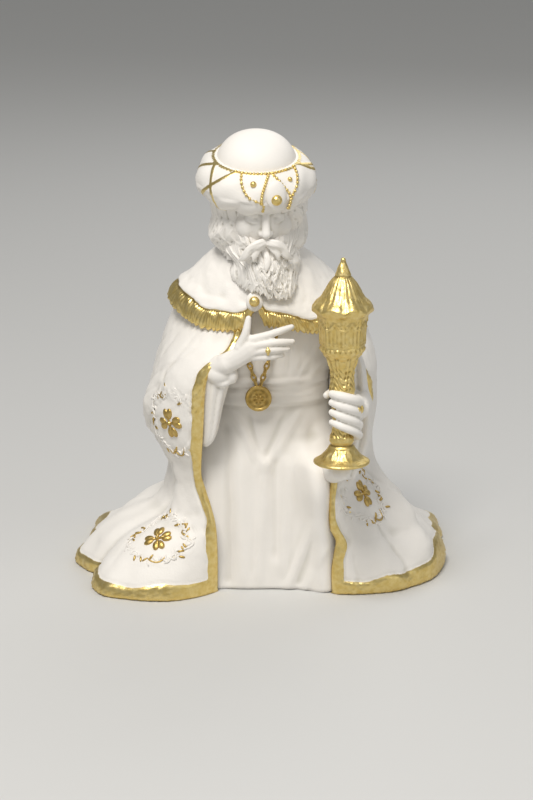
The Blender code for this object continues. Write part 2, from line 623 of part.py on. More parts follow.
def left_arm(clay):
    """The left forearm, its sleeve, and the fist that closes round the chalice."""
    grip = GRIP / U
    radius = FINGER_RADIUS / U
    hold = STEM_RADIUS / U + radius * 0.9
    for index, (at_knuckle, at_tip) in enumerate(LEFT_FINGERS):
        turns = np.radians(FINGER_TURNS)
        reach = hold + np.array((0.8, 0.6, 0.3, 0.1, 0))
        path = np.stack([
            grip[0] + reach * np.sin(turns),
            grip[1] - reach * np.cos(turns),
            grip[2] + np.linspace(at_knuckle, at_tip, 5) + 1.5 * np.cos(turns),
        ], axis=1)
        size = radius * (1.0 - 0.06 * index)
        clay.tube(path, (size * 1.15, size, size, size * 0.8), sides=10)
    clay.tube((grip + (4, 6.5, 5), grip + (-4, 5.5, 6.4), grip + (-6.4, 1.2, 6.4)), (2.2, 1.9, 1.5))
    clay.tube((grip + (5.8, 2.6, 4), grip + (5.8, 3.2, -8.0)), (2.8, 2.6))
    clay.tube((grip + (6.8, 5.0, 0), grip + (8, 16, 0)), (5.0, 4.6))
    clay.tube(((34, -12, 87), (34.5, -32, 88), (35.5, -51, 87.5)), (8, 6.5, 5.4), sides=16)
    hanging_sleeve(clay, LEFT_SLEEVE)


# The stud under the chalice's foot, as (x, y, z, radius) from the foot's middle, from the knee up.
STUD = [(-2.6, 30, -12.0, 6.0), (-1.4, 19, -9.0, 5.0), (-0.4, 9, -6.2, 4.2), (0, 1.4, -3.5, 3.8)]


def chalice_stud(clay):
    """The small stud of the porcelain on which the chalice stands."""
    foot = np.array((GRIP[0], GRIP[1], FOOT_Z - SEAT_GAP)) / U
    stud = np.array(STUD)
    clay.tube(foot + stud[:, :3], tuple(stud[:, 3]), sides=16)


# The medallion's middle, and its section as (radius, how far out).
MEDALLION = (-3.4, -36.2, 84.6)
MEDALLION_PROFILE = [(5.1, -2.5), (5.6, 0.0), (5.4, 0.7), (4.5, 0.7), (4.1, 0.3), (2.8, 0.3), (2.5, 0.8),
                     (0.8, 0.9)]


def medallion(clay):
    """A round medallion on a linked chain, on the breast."""
    x, y, z = MEDALLION
    turn = np.linspace(0, 2 * math.pi, 28, endpoint=False)
    rings = []
    for radius, out in MEDALLION_PROFILE:
        ring = [x + radius * np.cos(turn), y - out + 0 * turn, z + radius * np.sin(turn)]
        rings.append(np.stack(ring, axis=1))
    clay.loft(rings)
    for side in (-1, 1):
        for k in range(8):
            share = k / 7
            link = (x + side * (1.3 + 5.6 * share), y + 0.8 - 0.2 * share, z + 6.6 + 19 * share)
            clay.egg(link, (1.1, 1.0, 1.6), sides=8)


def porcelain(name, colour):
    material = bpy.data.materials.new(name)
    material.use_nodes = True
    shader = material.node_tree.nodes["Principled BSDF"]
    shader.inputs["Base Color"].default_value = (*colour, 1)
    shader.inputs["Roughness"].default_value = 0.55
    return material


def gilt(name, colour):
    material = porcelain(name, colour)
    shader = material.node_tree.nodes["Principled BSDF"]
    shader.inputs["Metallic"].default_value = 1.0
    shader.inputs["Roughness"].default_value = 0.32
    return material


def chalice_profile():
    """(height, radius, ribbing) up the chalice. Ribbing says how far its eight ribs shape the section."""
    knop = FOOT_HEIGHT
    stem = knop + KNOP_HEIGHT
    bowl = stem + STEM_HEIGHT
    drum = bowl + BOWL_HEIGHT
    rim = drum + DRUM_HEIGHT
    finial = rim + LID_HEIGHT
    tip = finial + FINIAL_HEIGHT
    waist = (KNOP_RADIUS + STEM_RADIUS) / 2
    return [
        (0.0, FOOT_RADIUS * 0.97, 0),
        (FOOT_HEIGHT * 0.12, FOOT_RADIUS, 0),
        (FOOT_HEIGHT * 0.26, FOOT_RADIUS * 0.86, 0),
        (FOOT_HEIGHT * 0.50, FOOT_RADIUS * 0.64, 0),
        (FOOT_HEIGHT * 0.95, KNOP_RADIUS, 0),
        (knop + KNOP_HEIGHT * 0.12, KNOP_RADIUS * 0.88, 0),
        (knop + KNOP_HEIGHT * 0.5, KNOP_RADIUS, 0),
        (knop + KNOP_HEIGHT * 0.9, waist, 0),
        (stem + STEM_HEIGHT * 0.12, STEM_RADIUS, 0),
        (stem + STEM_HEIGHT * 0.88, STEM_RADIUS, 0),
        (bowl, STEM_RADIUS * 1.28, 0.1),
        (bowl + BOWL_HEIGHT * 0.35, STEM_RADIUS * 1.16, 0.3),
        (bowl + BOWL_HEIGHT * 0.65, DRUM_RADIUS * 0.63, 0.5),
        (bowl + BOWL_HEIGHT * 0.82, DRUM_RADIUS * 0.75, 0.7),
        (bowl + BOWL_HEIGHT * 0.93, DRUM_RADIUS * 0.90, 0.8),
        (drum, DRUM_RADIUS * 0.98, 0.8),
        (drum + DRUM_HEIGHT * 0.12, DRUM_RADIUS * 0.97, 1.0),
        (drum + DRUM_HEIGHT * 0.45, DRUM_RADIUS, 1.0),
        (drum + DRUM_HEIGHT * 0.78, DRUM_RADIUS * 1.04, 1.0),
        (rim - DRUM_HEIGHT * 0.10, DRUM_RADIUS * 1.10, 1.2),
        (rim - DRUM_HEIGHT * 0.03, LID_RADIUS * 0.93, 1.8),
        (rim + LID_HEIGHT * 0.04, LID_RADIUS, 1.8),
        (rim + LID_HEIGHT * 0.17, LID_RADIUS * 0.93, 1.6),
        (rim + LID_HEIGHT * 0.27, LID_RADIUS * 0.84, 1.4),
        (rim + LID_HEIGHT * 0.43, LID_RADIUS * 0.70, 1.0),
        (rim + LID_HEIGHT * 0.63, LID_RADIUS * 0.575, 1.0),
        (rim + LID_HEIGHT * 0.83, LID_RADIUS * 0.435, 1.0),
        (finial - LID_HEIGHT * 0.02, FINIAL_RADIUS * 1.05, 0.4),
        (finial, FINIAL_RADIUS, 0),
        (finial + FINIAL_HEIGHT * 0.08, FINIAL_RADIUS * 1.08, 0),
        (finial + FINIAL_HEIGHT * 0.14, FINIAL_RADIUS, 0),
        (finial + FINIAL_HEIGHT * 0.42, FINIAL_RADIUS * 0.68, 0),
        (finial + FINIAL_HEIGHT * 0.75, FINIAL_RADIUS * 0.36, 0),
        (tip, FINIAL_RADIUS * 0.10, 0),
    ]


def ribbed_turning(name, profile, sides=24, grow=0.0):
    """A turned shape whose ribs draw the section out at each rib, by a share of the radius."""
    turn = np.linspace(0, 2 * math.pi, sides, endpoint=False)
    between = np.abs(np.sin(turn * CHALICE_RIBS / 2))
    shape = bmesh.new()
    rings = []
    for height, radius, ribbing in profile:
        reach = (radius + grow) * (1 - 0.05 * ribbing * between)
        lift = LID_HEIGHT * 0.10 * max(ribbing - 1, 0) * between
        rings.append([
            shape.verts.new((r * math.sin(t), -r * math.cos(t), height + z))
            for r, t, z in zip(reach, turn, lift)
        ])
    for low, high in zip(rings, rings[1:]):
        for j in range(sides):
            k = (j + 1) % sides
            shape.faces.new((low[j], low[k], high[k], high[j]))
    shape.faces.new(rings[0][::-1])
    shape.faces.new(rings[-1])
    mesh = bpy.data.meshes.new(name)
    shape.to_mesh(mesh)
    shape.free()
    made = bpy.data.objects.new(name, mesh)
    made.location = (GRIP[0], GRIP[1], FOOT_Z)
    bpy.context.scene.collection.objects.link(made)
    return made


def chalice():
    made = ribbed_turning("chalice", chalice_profile())
    made.data.materials.append(gilt("chalice_gilt", (0.78, 0.62, 0.26)))
    made.data.shade_smooth()
    made.data.set_sharp_from_angle(angle=math.radians(40))
    return made


def seat_cutter():
    """The chalice's own shape grown by the seat's gap, which clears its place in the fist."""
    profile = chalice_profile()
    profile[0] = (-SEAT_GAP, *profile[0][1:])
    profile[-1] = (profile[-1][0] + SEAT_GAP, *profile[-1][1:])
    cutter = ribbed_turning("seat_cutter", profile, grow=SEAT_GAP * 1.4)
    cutter.hide_render = True
    cutter.display_type = "WIRE"
    return cutter


def floor_cutter():
    """A block under the floor plane that cuts the figure's underside flat."""
    depth = 0.1 * FIGURE_HEIGHT
    bpy.ops.mesh.primitive_cube_add(size=1, location=(0, 0, -depth / 2))
    cutter = bpy.context.object
    cutter.name = "floor_cutter"
    cutter.scale = (2 * FIGURE_HEIGHT, 2 * FIGURE_HEIGHT, depth)
    cutter.hide_render = True
    cutter.display_type = "WIRE"
    return cutter


def figure():
    """The whole porcelain figure, fused from its forms."""
    clay = Clay()
    forms = (
        mantle, tunic, cape, clasp, face, beard, hair, turban, right_arm, left_arm, chalice_stud, medallion,
    )
    for form in forms:
        form(clay)
    made = clay.body("wise_man")
    made.data.materials.append(porcelain("bisque", (0.87, 0.85, 0.81)))
    fuse = made.modifiers.new("fuse", "REMESH")
    fuse.mode = "VOXEL"
    fuse.voxel_size = GRAIN
    soften = made.modifiers.new("soften", "SMOOTH")
    soften.iterations = round(SOFTENING)
    soften.factor = SOFTENING_SHARE
    thin = made.modifiers.new("thin", "DECIMATE")
    thin.ratio = KEPT_SHARE
    for cutter in (seat_cutter(), floor_cutter()):
        cut = made.modifiers.new(cutter.name, "BOOLEAN")
        cut.operation = "DIFFERENCE"
        cut.solver = "EXACT"
        cut.object = cutter
    return made


clear_scene()
figure()
chalice()
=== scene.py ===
"""The looks of a kneeling nativity wise man in white bisque porcelain with gilded borders and chalice.

Every form is worked out in shares of the figure's height, and U turns a share into metres. The figure
faces -Y, with his right hand towards -X. The forms are those of the solids, cut finer and dressed.
"""

import bmesh
import bpy
import numpy as np
from mathutils import Euler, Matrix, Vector
from numpy import cos, linspace, pi, radians, sin


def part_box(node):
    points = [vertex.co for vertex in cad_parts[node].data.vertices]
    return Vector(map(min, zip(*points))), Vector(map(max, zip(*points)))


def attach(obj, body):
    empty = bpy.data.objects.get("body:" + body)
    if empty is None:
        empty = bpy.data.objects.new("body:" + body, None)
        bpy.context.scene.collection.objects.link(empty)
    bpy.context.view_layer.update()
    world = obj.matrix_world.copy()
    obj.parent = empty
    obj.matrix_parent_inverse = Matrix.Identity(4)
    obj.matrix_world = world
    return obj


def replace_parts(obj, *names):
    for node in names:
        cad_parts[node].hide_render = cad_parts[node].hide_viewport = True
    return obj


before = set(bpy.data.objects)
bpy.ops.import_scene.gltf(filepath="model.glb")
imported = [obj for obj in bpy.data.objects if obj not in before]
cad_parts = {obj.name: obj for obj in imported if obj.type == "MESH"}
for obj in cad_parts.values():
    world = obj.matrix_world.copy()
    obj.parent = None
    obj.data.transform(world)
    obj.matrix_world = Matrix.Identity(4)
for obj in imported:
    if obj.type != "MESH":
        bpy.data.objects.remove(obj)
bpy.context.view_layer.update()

SHARES = 198
FIGURE_LOW, FIGURE_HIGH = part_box("wise_man")
CHALICE_LOW, CHALICE_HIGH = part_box("chalice")
U = (FIGURE_HIGH[2] - FIGURE_LOW[2]) / SHARES

# Grain of the fused pieces, in shares.
FACE_GRAIN = 0.42
HAIR_GRAIN = 0.36
ARM_GRAIN = 0.52


def eased(values, slopes, step, k, t):
    """The smooth curve from value k to the next, at share t of the step between them."""
    return (
        values[k] * (1 + 2 * t) * (1 - t) ** 2
        + slopes[k] * step * t * (1 - t) ** 2
        + values[k + 1] * t * t * (3 - 2 * t)
        - slopes[k + 1] * step * t * t * (1 - t)
    )


def through(stops, at):
    """The value at each place of the smooth curve through (place, value) stops, without overshoot."""
    places, values = np.array(stops, float).T
    steps = np.diff(places)
    rises = np.diff(values) / steps
    slopes = np.zeros_like(values)
    before, after = rises[:-1], rises[1:]
    near, far = 2 * steps[1:] + steps[:-1], steps[1:] + 2 * steps[:-1]
    with np.errstate(divide="ignore", invalid="ignore"):
        slopes[1:-1] = np.where(before * after > 0, (near + far) / (near / before + far / after), 0)
    slopes[0], slopes[-1] = rises[0], rises[-1]
    at = np.clip(np.asarray(at, float), places[0], places[-1])
    k = np.clip(np.searchsorted(places, at, side="right") - 1, 0, len(steps) - 1)
    return eased(values, slopes, steps[k], k, (at - places[k]) / steps[k])


def curve_points(points, count):
    """Evenly spread points on the smooth curve through a few points."""
    points = np.asarray(points, float)
    run = np.concatenate([[0], np.cumsum(np.linalg.norm(np.diff(points, axis=0), axis=1))])
    slopes = np.gradient(points, run, axis=0)
    at = linspace(0, run[-1], count)
    k = np.clip(np.searchsorted(run, at, side="right") - 1, 0, len(run) - 2)
    step = (run[k + 1] - run[k])[:, None]
    return eased(points, slopes, step, k, (at - run[k])[:, None] / step)


def xyz(x, y, z):
    """Points from their coordinates."""
    return np.stack(np.broadcast_arrays(x, y, z), axis=-1)


def round_point(turn, reach, height):
    """The point at an azimuth in radians, 0 in front and growing towards his right, a reach and a height."""
    return xyz(-reach * sin(turn), -reach * cos(turn), height)


def all_round(count):
    """Evenly spread angles right round."""
    return linspace(0, 2 * pi, count, endpoint=False)


def unit(vectors):
    return vectors / np.maximum(np.linalg.norm(vectors, axis=-1, keepdims=True), 1e-9)


def section(sideways, forward, wide, deep, power):
    """The reach of a squared oval in a direction."""
    return (np.abs(sideways / wide) ** power + np.abs(forward / deep) ** power) ** (-1 / power)


def bump(x, width):
    """A rounded ridge of height 1, width wide to each side."""
    return np.exp(-((x / width) ** 2))


def smooth_step(low, high, x):
    t = np.clip((x - low) / (high - low), 0, 1)
    return t * t * (3 - 2 * t)


def between(low, high, soft, x):
    """1 between low and high, fading to 0 over soft to each side of both."""
    return smooth_step(low - soft, low + soft, x) * smooth_step(high + soft, high - soft, x)


def hashed(cells, seed):
    """A fixed, even spread of numbers from 0 to 1 over whole-number cells."""
    wild = sin(cells @ np.array((127.1, 311.7, 74.7)) + seed * 19.19) * 43758.5453
    return wild - np.floor(wild)


def noise(points, scale, seed=0):
    """Smooth noise from -1 to 1 with features of about the given scale."""
    spot = np.asarray(points, float) / scale
    cell = np.floor(spot)
    part = smooth_step(0, 1, spot - cell)
    total = 0
    for corner in np.ndindex(2, 2, 2):
        total = total + hashed(cell + corner, seed) * np.prod(np.where(corner, part, 1 - part), axis=-1)
    return 2 * total - 1


def grid_faces(rows, columns, closed_rows=False, caps=None):
    """The faces of a grid whose columns run right round, with its end caps unless the rows do so too."""
    i, j = np.meshgrid(np.arange(rows if closed_rows else rows - 1), np.arange(columns), indexing="ij")
    k, n = (j + 1) % columns, (i + 1) % rows
    quads = np.stack([i * columns + j, i * columns + k, n * columns + k, n * columns + j], axis=-1)
    if caps is None and not closed_rows:
        caps = [list(range(columns))[::-1], list(range((rows - 1) * columns, rows * columns))]
    return quads.reshape(-1, 4).tolist() + (caps or [])


def placed(name, content):
    """A new object of the scene."""
    made = bpy.data.objects.new(name, content)
    bpy.context.scene.collection.objects.link(made)
    return made


def shape_from(name, points, faces):
    """A new object whose faces all look outward, from points in shares."""
    mesh = bpy.data.meshes.new(name)
    mesh.from_pydata(points * U, [], faces)
    shape = bmesh.new()
    shape.from_mesh(mesh)
    bmesh.ops.recalc_face_normals(shape, faces=shape.faces)
    shape.to_mesh(mesh)
    shape.free()
    return placed(name, mesh)


# The rounded end of a tube, as how far out and how wide, in shares of its radius.
TUBE_END = np.array(((0.98, 0.2), (0.75, 0.66), (0.4, 0.92)))


class Clay:
    """Closed shells gathered into one body, in shares."""

    def __init__(self):
        self.points, self.faces, self.count = [], [], 0

    def loft(self, rings):
        """A skin over closed rings of equal size, with a cap on the first and on the last."""
        rings = np.asarray(rings, float)
        self.faces += [tuple(i + self.count for i in face) for face in grid_faces(*rings.shape[:2])]
        self.points.append(rings.reshape(-1, 3))
        self.count += len(self.points[-1])

    def tube(self, path, radii, sides=12, steps=20, flat=1, across=(0, 0, 1)):
        """A tube with round ends along a smooth curve. flat thins it along the across direction."""
        line = curve_points(path, steps)
        radius = through(list(zip(linspace(0, 1, len(radii)), radii)), linspace(0, 1, steps))
        ways = unit(np.gradient(line, axis=0))
        out, size = TUBE_END.T
        first = line[0] - np.outer(out * radius[0], ways[0])
        last = line[-1] + np.outer(out[::-1] * radius[-1], ways[-1])
        line = np.vstack([first, line, last])
        ways = np.vstack([[ways[0]] * 3, ways, [ways[-1]] * 3])
        radius = np.concatenate([radius[0] * size, radius, radius[-1] * size[::-1]])
        side = unit(np.cross(ways, across))
        turn = all_round(sides)[None, :, None]
        ring = cos(turn) * side[:, None] + flat * sin(turn) * np.cross(side, ways)[:, None]
        self.loft(line[:, None] + radius[:, None, None] * ring)

    def egg(self, centre, radii, turned=None, sides=24):
        """An ellipsoid, turned by a matrix if one is given."""
        rise = linspace(-pi / 2 + 0.06, pi / 2 - 0.06, sides // 2)[:, None]
        turn = all_round(sides)
        rings = xyz(cos(rise) * cos(turn), cos(rise) * sin(turn), sin(rise)) * radii
        if turned is not None:
            rings = rings @ np.array(turned).T
        self.loft(rings + centre)

    def piece(self, name, looks, slot, grain=None, softening=0):
        """The gathered shells as one shown piece. A grain fuses them into a single skin."""
        made = shape_from(name, np.vstack(self.points), self.faces)
        if grain:
            fuse = made.modifiers.new("fuse", "REMESH")
            fuse.mode = "VOXEL"
            fuse.voxel_size = grain * U
            soften = made.modifiers.new("soften", "SMOOTH")
            soften.iterations = softening
            soften.factor = 0.4
            graph = bpy.context.evaluated_depsgraph_get()
            loose, mesh = made.data, bpy.data.meshes.new_from_object(made.evaluated_get(graph))
            made.modifiers.clear()
            made.data = mesh
            bpy.data.meshes.remove(loose)
        return dress(made, looks)


def egg_piece(name, looks, slot, centre, radii, turned=None, sides=24):
    """A piece that is a single ellipsoid."""
    clay = Clay()
    clay.egg(centre, radii, turned, sides)
    clay.piece(name, looks, slot)


def grid_piece(name, grid, looks, gilt=None, closed_rows=False, caps=None):
    """A piece from a grid whose columns run right round. gilt is each point's depth in the gilding."""
    made = shape_from(name, grid.reshape(-1, 3), grid_faces(*grid.shape[:2], closed_rows, caps))
    if gilt is not None:
        store(made.data, "gilt", gilt)
    return dress(made, looks)


def dress(made, looks):
    """Gives a piece its material, a smooth skin and its body."""
    made.data.materials.clear()
    made.data.materials.append(looks)
    made.data.shade_smooth()
    add_hollow_shade(made.data)
    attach(made, "root")
    return made


def read(items, name, width, kind=float):
    """One property of a mesh's points or edges, a row for each."""
    values = np.empty(len(items) * width, kind)
    items.foreach_get(name, values)
    return values.reshape(-1, width)


def store(mesh, name, values):
    """Stores one number for each point of the mesh."""
    if name in mesh.attributes:
        mesh.attributes.remove(mesh.attributes[name])
    stored = mesh.attributes.new(name, "FLOAT", "POINT")
    stored.data.foreach_set("value", np.asarray(values, np.float32).ravel())


# How deep a full hollow is, and how far its points lie apart, in shares.
HOLLOW_DEPTH = 0.1
HOLLOW_CELL = 0.32


def add_hollow_shade(mesh, spread=3):
    """Stores how deep each point lies in a recess, from -1 on a ridge to 1 in a groove, as the mask of
    painted shade.
    """
    points, normals = read(mesh.vertices, "co", 3), read(mesh.vertices, "normal", 3)
    edges = read(mesh.edges, "vertices", 2, int)
    count = len(points)
    number = np.maximum(np.bincount(edges.ravel(), minlength=count), 1)

    def spread_out(values):
        total = np.bincount(edges[:, 0], values[edges[:, 1]], count)
        total += np.bincount(edges[:, 1], values[edges[:, 0]], count)
        return total / number

    smooth = points
    for _ in range(spread):
        smooth = np.stack([spread_out(smooth[:, i]) for i in range(3)], axis=1)
    depth = np.einsum("ij,ij->i", smooth - points, normals) / (HOLLOW_DEPTH * U)
    length = np.linalg.norm(points[edges[:, 0]] - points[edges[:, 1]], axis=1)
    around = np.bincount(edges.ravel(), np.repeat(length, 2), count) / number
    depth = depth * np.clip(HOLLOW_CELL * U / around, 0.15, 1.6)
    # This depth only drives the painted shade that darkens grooves in the white and in the gold.
    store(mesh, "hollow_shade", np.clip(spread_out(spread_out(depth)), -1, 1))


# Colours of the porcelain and of its gilding, SHADE and GOLD_SHADE being shade painted into their hollows,
# their roughness, and the dull shine of the white.
WHITE = (0.86, 0.83, 0.785, 1)
SHADE = (0.58, 0.555, 0.49, 1)
GOLD = (0.73, 0.54, 0.17, 1)
GOLD_SHADE = (0.25, 0.16, 0.04, 1)
GOLD_LIGHT = (0.87, 0.71, 0.33, 1)
BROWN_GOLD = (0.47, 0.32, 0.09, 1)
BROWN_GOLD_LIGHT = (0.66, 0.48, 0.18, 1)
WHITE_ROUGHNESS, GOLD_ROUGHNESS = 0.58, 0.34
SHINE = {"Specular IOR Level": 0.35}
# Sizes in metres: faint clouds in the white, light and dark of the gold, its worn spots and its wavy edge.
CLOUDS, GOLD_SPOTS, WORN_SPOTS, EDGE_WANDER = 0.012, 0.0022, 0.0015, 0.0025

# The sockets of a Mix node that carry colours.
COLOUR_A, COLOUR_B, COLOUR_OUT = 6, 7, 2


class Looks:
    """A material made node by node. An input is a number, a colour or another node's output."""

    def __init__(self, name):
        self.material = bpy.data.materials.new(name)
        self.material.use_nodes = True
        self.tree = self.material.node_tree

    def feed(self, node, inputs):
        for name, value in inputs.items():
            if isinstance(value, bpy.types.NodeSocket):
                self.tree.links.new(value, node.inputs[name])
            else:
                node.inputs[name].default_value = value

    def node(self, kind, inputs, **settings):
        made = self.tree.nodes.new("ShaderNode" + kind)
        for name, value in settings.items():
            setattr(made, name, value)
        self.feed(made, inputs)
        return made

    def attribute(self, name):
        return self.node("Attribute", {}, attribute_name=name).outputs["Fac"]

    def ranged(self, source, low, high, to_low=0, to_high=1):
        inputs = {"Value": source, "From Min": low, "From Max": high, "To Min": to_low, "To Max": to_high}
        return self.node("MapRange", inputs).outputs["Result"]

    def total(self, first, second, clamp=False):
        return self.node("Math", {0: first, 1: second}, operation="ADD", use_clamp=clamp).outputs[0]

    def mixed(self, factor, first, second):
        inputs = {"Factor": factor, COLOUR_A: first, COLOUR_B: second}
        return self.node("Mix", inputs, data_type="RGBA").outputs[COLOUR_OUT]

    def mottle(self, size):
        """Noise with features of about the given size in metres."""
        place = self.node("TexCoord", {}).outputs["Object"]
        return self.node("TexNoise", {"Vector": place, "Scale": 1 / size, "Detail": 3}).outputs["Fac"]

    def porcelain(self):
        """White bisque, painted a little greyer in its hollows as shade, and clouded very faintly."""
        # Painted shade: the deeper a point lies in a groove, the more the white turns to the grey SHADE.
        hollow_shade = self.ranged(self.attribute("hollow_shade"), 0.1, 1)
        clouds = self.ranged(self.mottle(CLOUDS), 0.3, 0.7, 0, 0.1)
        return self.mixed(self.total(hollow_shade, clouds, True), WHITE, SHADE)

    def gold(self, dull=GOLD, bright=GOLD_LIGHT):
        """Gilding in two tones that mottle at random, bright on the ridges and turned brown in the grooves by
        painted shade.
        """
        surface = self.mixed(self.ranged(self.mottle(GOLD_SPOTS), 0.25, 0.75), dull, bright)
        # Painted shade: the deeper a point lies in a groove, the more the gold turns to the brown GOLD_SHADE.
        return self.mixed(self.ranged(self.attribute("hollow_shade"), 0.1, 1.15), surface, GOLD_SHADE)

    def finished(self, colour, roughness, strength, grain, inputs):
        """The material with its colour and a fine tooth of the given strength and grain in metres."""
        tooth = self.node("Bump", {"Strength": strength, "Distance": 0.0003, "Height": self.mottle(grain)})
        surface = {"Base Color": colour, "Roughness": roughness, "Normal": tooth.outputs["Normal"]}
        self.feed(self.tree.nodes["Principled BSDF"], surface | inputs)
        return self.material


def bisque():
    """Unglazed white porcelain with a very fine tooth."""
    looks = Looks("bisque")
    return looks.finished(looks.porcelain(), WHITE_ROUGHNESS, 0.12, 0.0006, SHINE)


def gilding(name="gilding", dull=GOLD, bright=GOLD_LIGHT):
    """Satin gold over carved relief."""
    looks = Looks(name)
    rough = looks.ranged(looks.mottle(WORN_SPOTS), 0.3, 0.7, 0.33, 0.5)
    return looks.finished(looks.gold(dull, bright), rough, 0.35, 0.0007, {"Metallic": 1})


def gilded_bisque():
    """White porcelain whose gilt attribute says, in shares, how far inside the gilding a point lies."""
    looks = Looks("gilded_bisque")
    wander = looks.ranged(looks.mottle(EDGE_WANDER), 0.2, 0.8, -0.22, 0.22)
    mask = looks.ranged(looks.total(looks.attribute("gilt"), wander), -0.1, 0.14)
    colour = looks.mixed(mask, looks.porcelain(), looks.gold())
    rough = looks.ranged(mask, 0, 1, WHITE_ROUGHNESS, GOLD_ROUGHNESS)
    return looks.finished(colour, rough, 0.25, 0.0008, {"Metallic": mask} | SHINE)


BISQUE = bisque()
GILDING = gilding()
DARK_GILDING = gilding("dark_gilding", BROWN_GOLD, BROWN_GOLD_LIGHT)
GILDED = gilded_bisque()

# The mantle's outline at each height: half-widths, depths and how square the section is.
MANTLE_TOP = 132
RIGHT_SIDE = [
    (-4, 78), (0, 80), (4, 79.5), (10, 76), (17, 70), (22, 63), (25.5, 55), (29, 48), (37, 42.5), (45, 41),
    (55, 44), (67, 50), (77, 51.5), (90, 49), (100, 46), (118, 39), (132, 28),
]
LEFT_SIDE = [
    (-4, 74), (0, 77), (6, 77), (14, 74), (20, 69), (24, 64.5), (29, 62), (34, 57), (40, 51), (46, 46),
    (52, 44), (60, 45), (76, 47.5), (92, 47.5), (101, 45.5), (118, 38), (132, 28),
]
FRONT_SIDE = [
    (-4, 47), (0, 47), (10, 46.5), (40, 46), (60, 48), (80, 51.5), (96, 53.5), (102, 51.8), (106, 48.6),
    (112, 44), (118, 41.5), (132, 30),
]
BACK_SIDE = [
    (-4, 66), (0, 68), (5, 67), (14, 60), (26, 50), (44, 38), (64, 27), (88, 21), (110, 17), (132, 10),
]
SQUARENESS = [(-4, 2.5), (10, 2.5), (40, 2.9), (90, 3), (110, 2.5), (132, 2.2)]
# How far out the hem lies on the floor at each azimuth, 0 in front and 90 on his right.
FLOOR_REACH = [
    (0, 44), (27, 46), (31, 55), (37, 66), (44, 72.5), (50, 78), (57, 83.5), (63, 83), (69, 80), (75, 78),
    (80, 79.5), (87, 81.5), (96, 82), (106, 84), (118, 89), (130, 94), (141, 91), (153, 83), (166, 76),
    (180, 72), (194, 76), (207, 83), (220, 92), (231, 96), (242, 90), (254, 83.5), (270, 78.5), (289, 75.5),
    (303, 69), (317, 60.5), (326, 53), (331, 48), (360, 44),
]
FLARE_TOP = 34
# Where the mantle's two front edges hang, as x at each height.
RIGHT_HAND_EDGE = [
    (-4, -21.6), (14, -21.5), (24, -21.7), (31, -22.4), (38, -24.2), (45, -26.5), (53, -28.5), (67, -27.7),
    (78, -27), (91, -26.2), (97, -25), (101, -22), (105, -17), (108, -12.8), (112, -11), (118, -10),
    (132, -8),
]
LEFT_HAND_EDGE = [
    (-4, 29), (9, 28.5), (18, 29.5), (23, 30.3), (29, 27.8), (35, 27.3), (51, 28.2), (57, 33), (66, 39.5),
    (82, 43.4), (90, 42.5), (95, 40.5), (100, 37.5), (105, 33), (110, 29), (116, 24), (132, 8),
]
# The cloth's thickness at its front edges, and how deep its lining lies elsewhere, as a share of its reach.
SHEET = 3.6
LINING_DEPTH = 0.74
# Rounded edges: how far from the edge they start, and how deep they draw in there.
FRONT_LIP, HEM_LIP, TUNIC_LIP = (1.9, 1.8), (1.6, 1.5), (1.4, 1.3)
BORDER = [(-4, 4.6), (8, 4.4), (20, 4), (35, 3.2), (60, 3.8), (85, 4.6), (100, 5), (110, 3.4), (132, 3.2)]
HEM, LEFT_HEM = 6.4, 7.5
LEFT_SLIMMER = 1.7
# Folds that stand out of the mantle: (azimuth and height at the top, at the foot, half-width, height).
MANTLE_FOLDS = [
    (62, 92, 80, 60, 5.5, 2.6), (98, 70, 60, 56, 4.5, -3.2), (56, 60, 44, 8, 7, 1.6),
    (66, 58, 76, -4, 4.5, -3.4), (94, 60, 90, 2, 6, 2.4), (118, 96, 104, 0, 6.5, -3),
    (135, 110, 126, 2, 7, 3.6), (158, 118, 150, 0, 6, -3.4), (176, 118, 176, 0, 7.5, 3.6),
    (200, 118, 204, 0, 6, -3.6), (222, 112, 232, 4, 7, 3.6), (244, 100, 252, 0, 6, -3.4),
    (262, 70, 262, 10, 5.5, -3.8), (276, 60, 288, 22, 6.5, 3.6), (300, 62, 300, 22, 6, -2),
    (318, 44, 306, 4, 6, 1.6),
]
# Small creases that only the finished skin has, in the same order.
MANTLE_CREASES = [
    (40, 112, 58, 84, 1.6, -0.7), (52, 114, 72, 88, 1.5, -0.6), (48, 100, 78, 84, 1.4, -0.8),
    (36, 108, 52, 96, 1.2, -0.7), (60, 112, 90, 96, 1.3, -0.6), (66, 104, 96, 84, 1.4, -0.6),
    (50, 92, 66, 82, 1.2, 0.5), (40, 82, 66, 70, 1.3, -0.5), (46, 94, 84, 74, 1.4, -0.7),
    (44, 88, 76, 64, 1.3, -0.6), (56, 50, 60, 22, 1.6, -0.8), (84, 66, 70, 40, 1.6, -0.9),
    (100, 90, 96, 60, 1.7, -0.8), (150, 112, 146, 60, 1.8, -0.9), (168, 100, 166, 40, 1.7, -0.8),
    (190, 112, 192, 50, 1.7, -0.8), (212, 104, 216, 46, 1.8, -0.9), (236, 92, 242, 40, 1.7, -0.8),
    (296, 50, 276, 30, 1.5, -0.7), (312, 40, 300, 12, 1.6, -0.7), (322, 34, 318, 6, 1.4, -0.6),
]


def fold_lift(turn, height, reach, folds):
    """How far the folds lift the surface at an azimuth in degrees and a height."""
    lift = 0 * turn
    for turn_top, top, turn_foot, foot, width, rise in folds:
        share = np.clip((top - height) / (top - foot), 0, 1)
        line = turn_top + (turn_foot - turn_top) * share
        apart = radians(turn - line) * reach
        fade = smooth_step(top + 8, top - 14, height) * smooth_step(foot - 18, foot + 2, height)
        lift += rise * fade * bump(apart, width)
    return lift


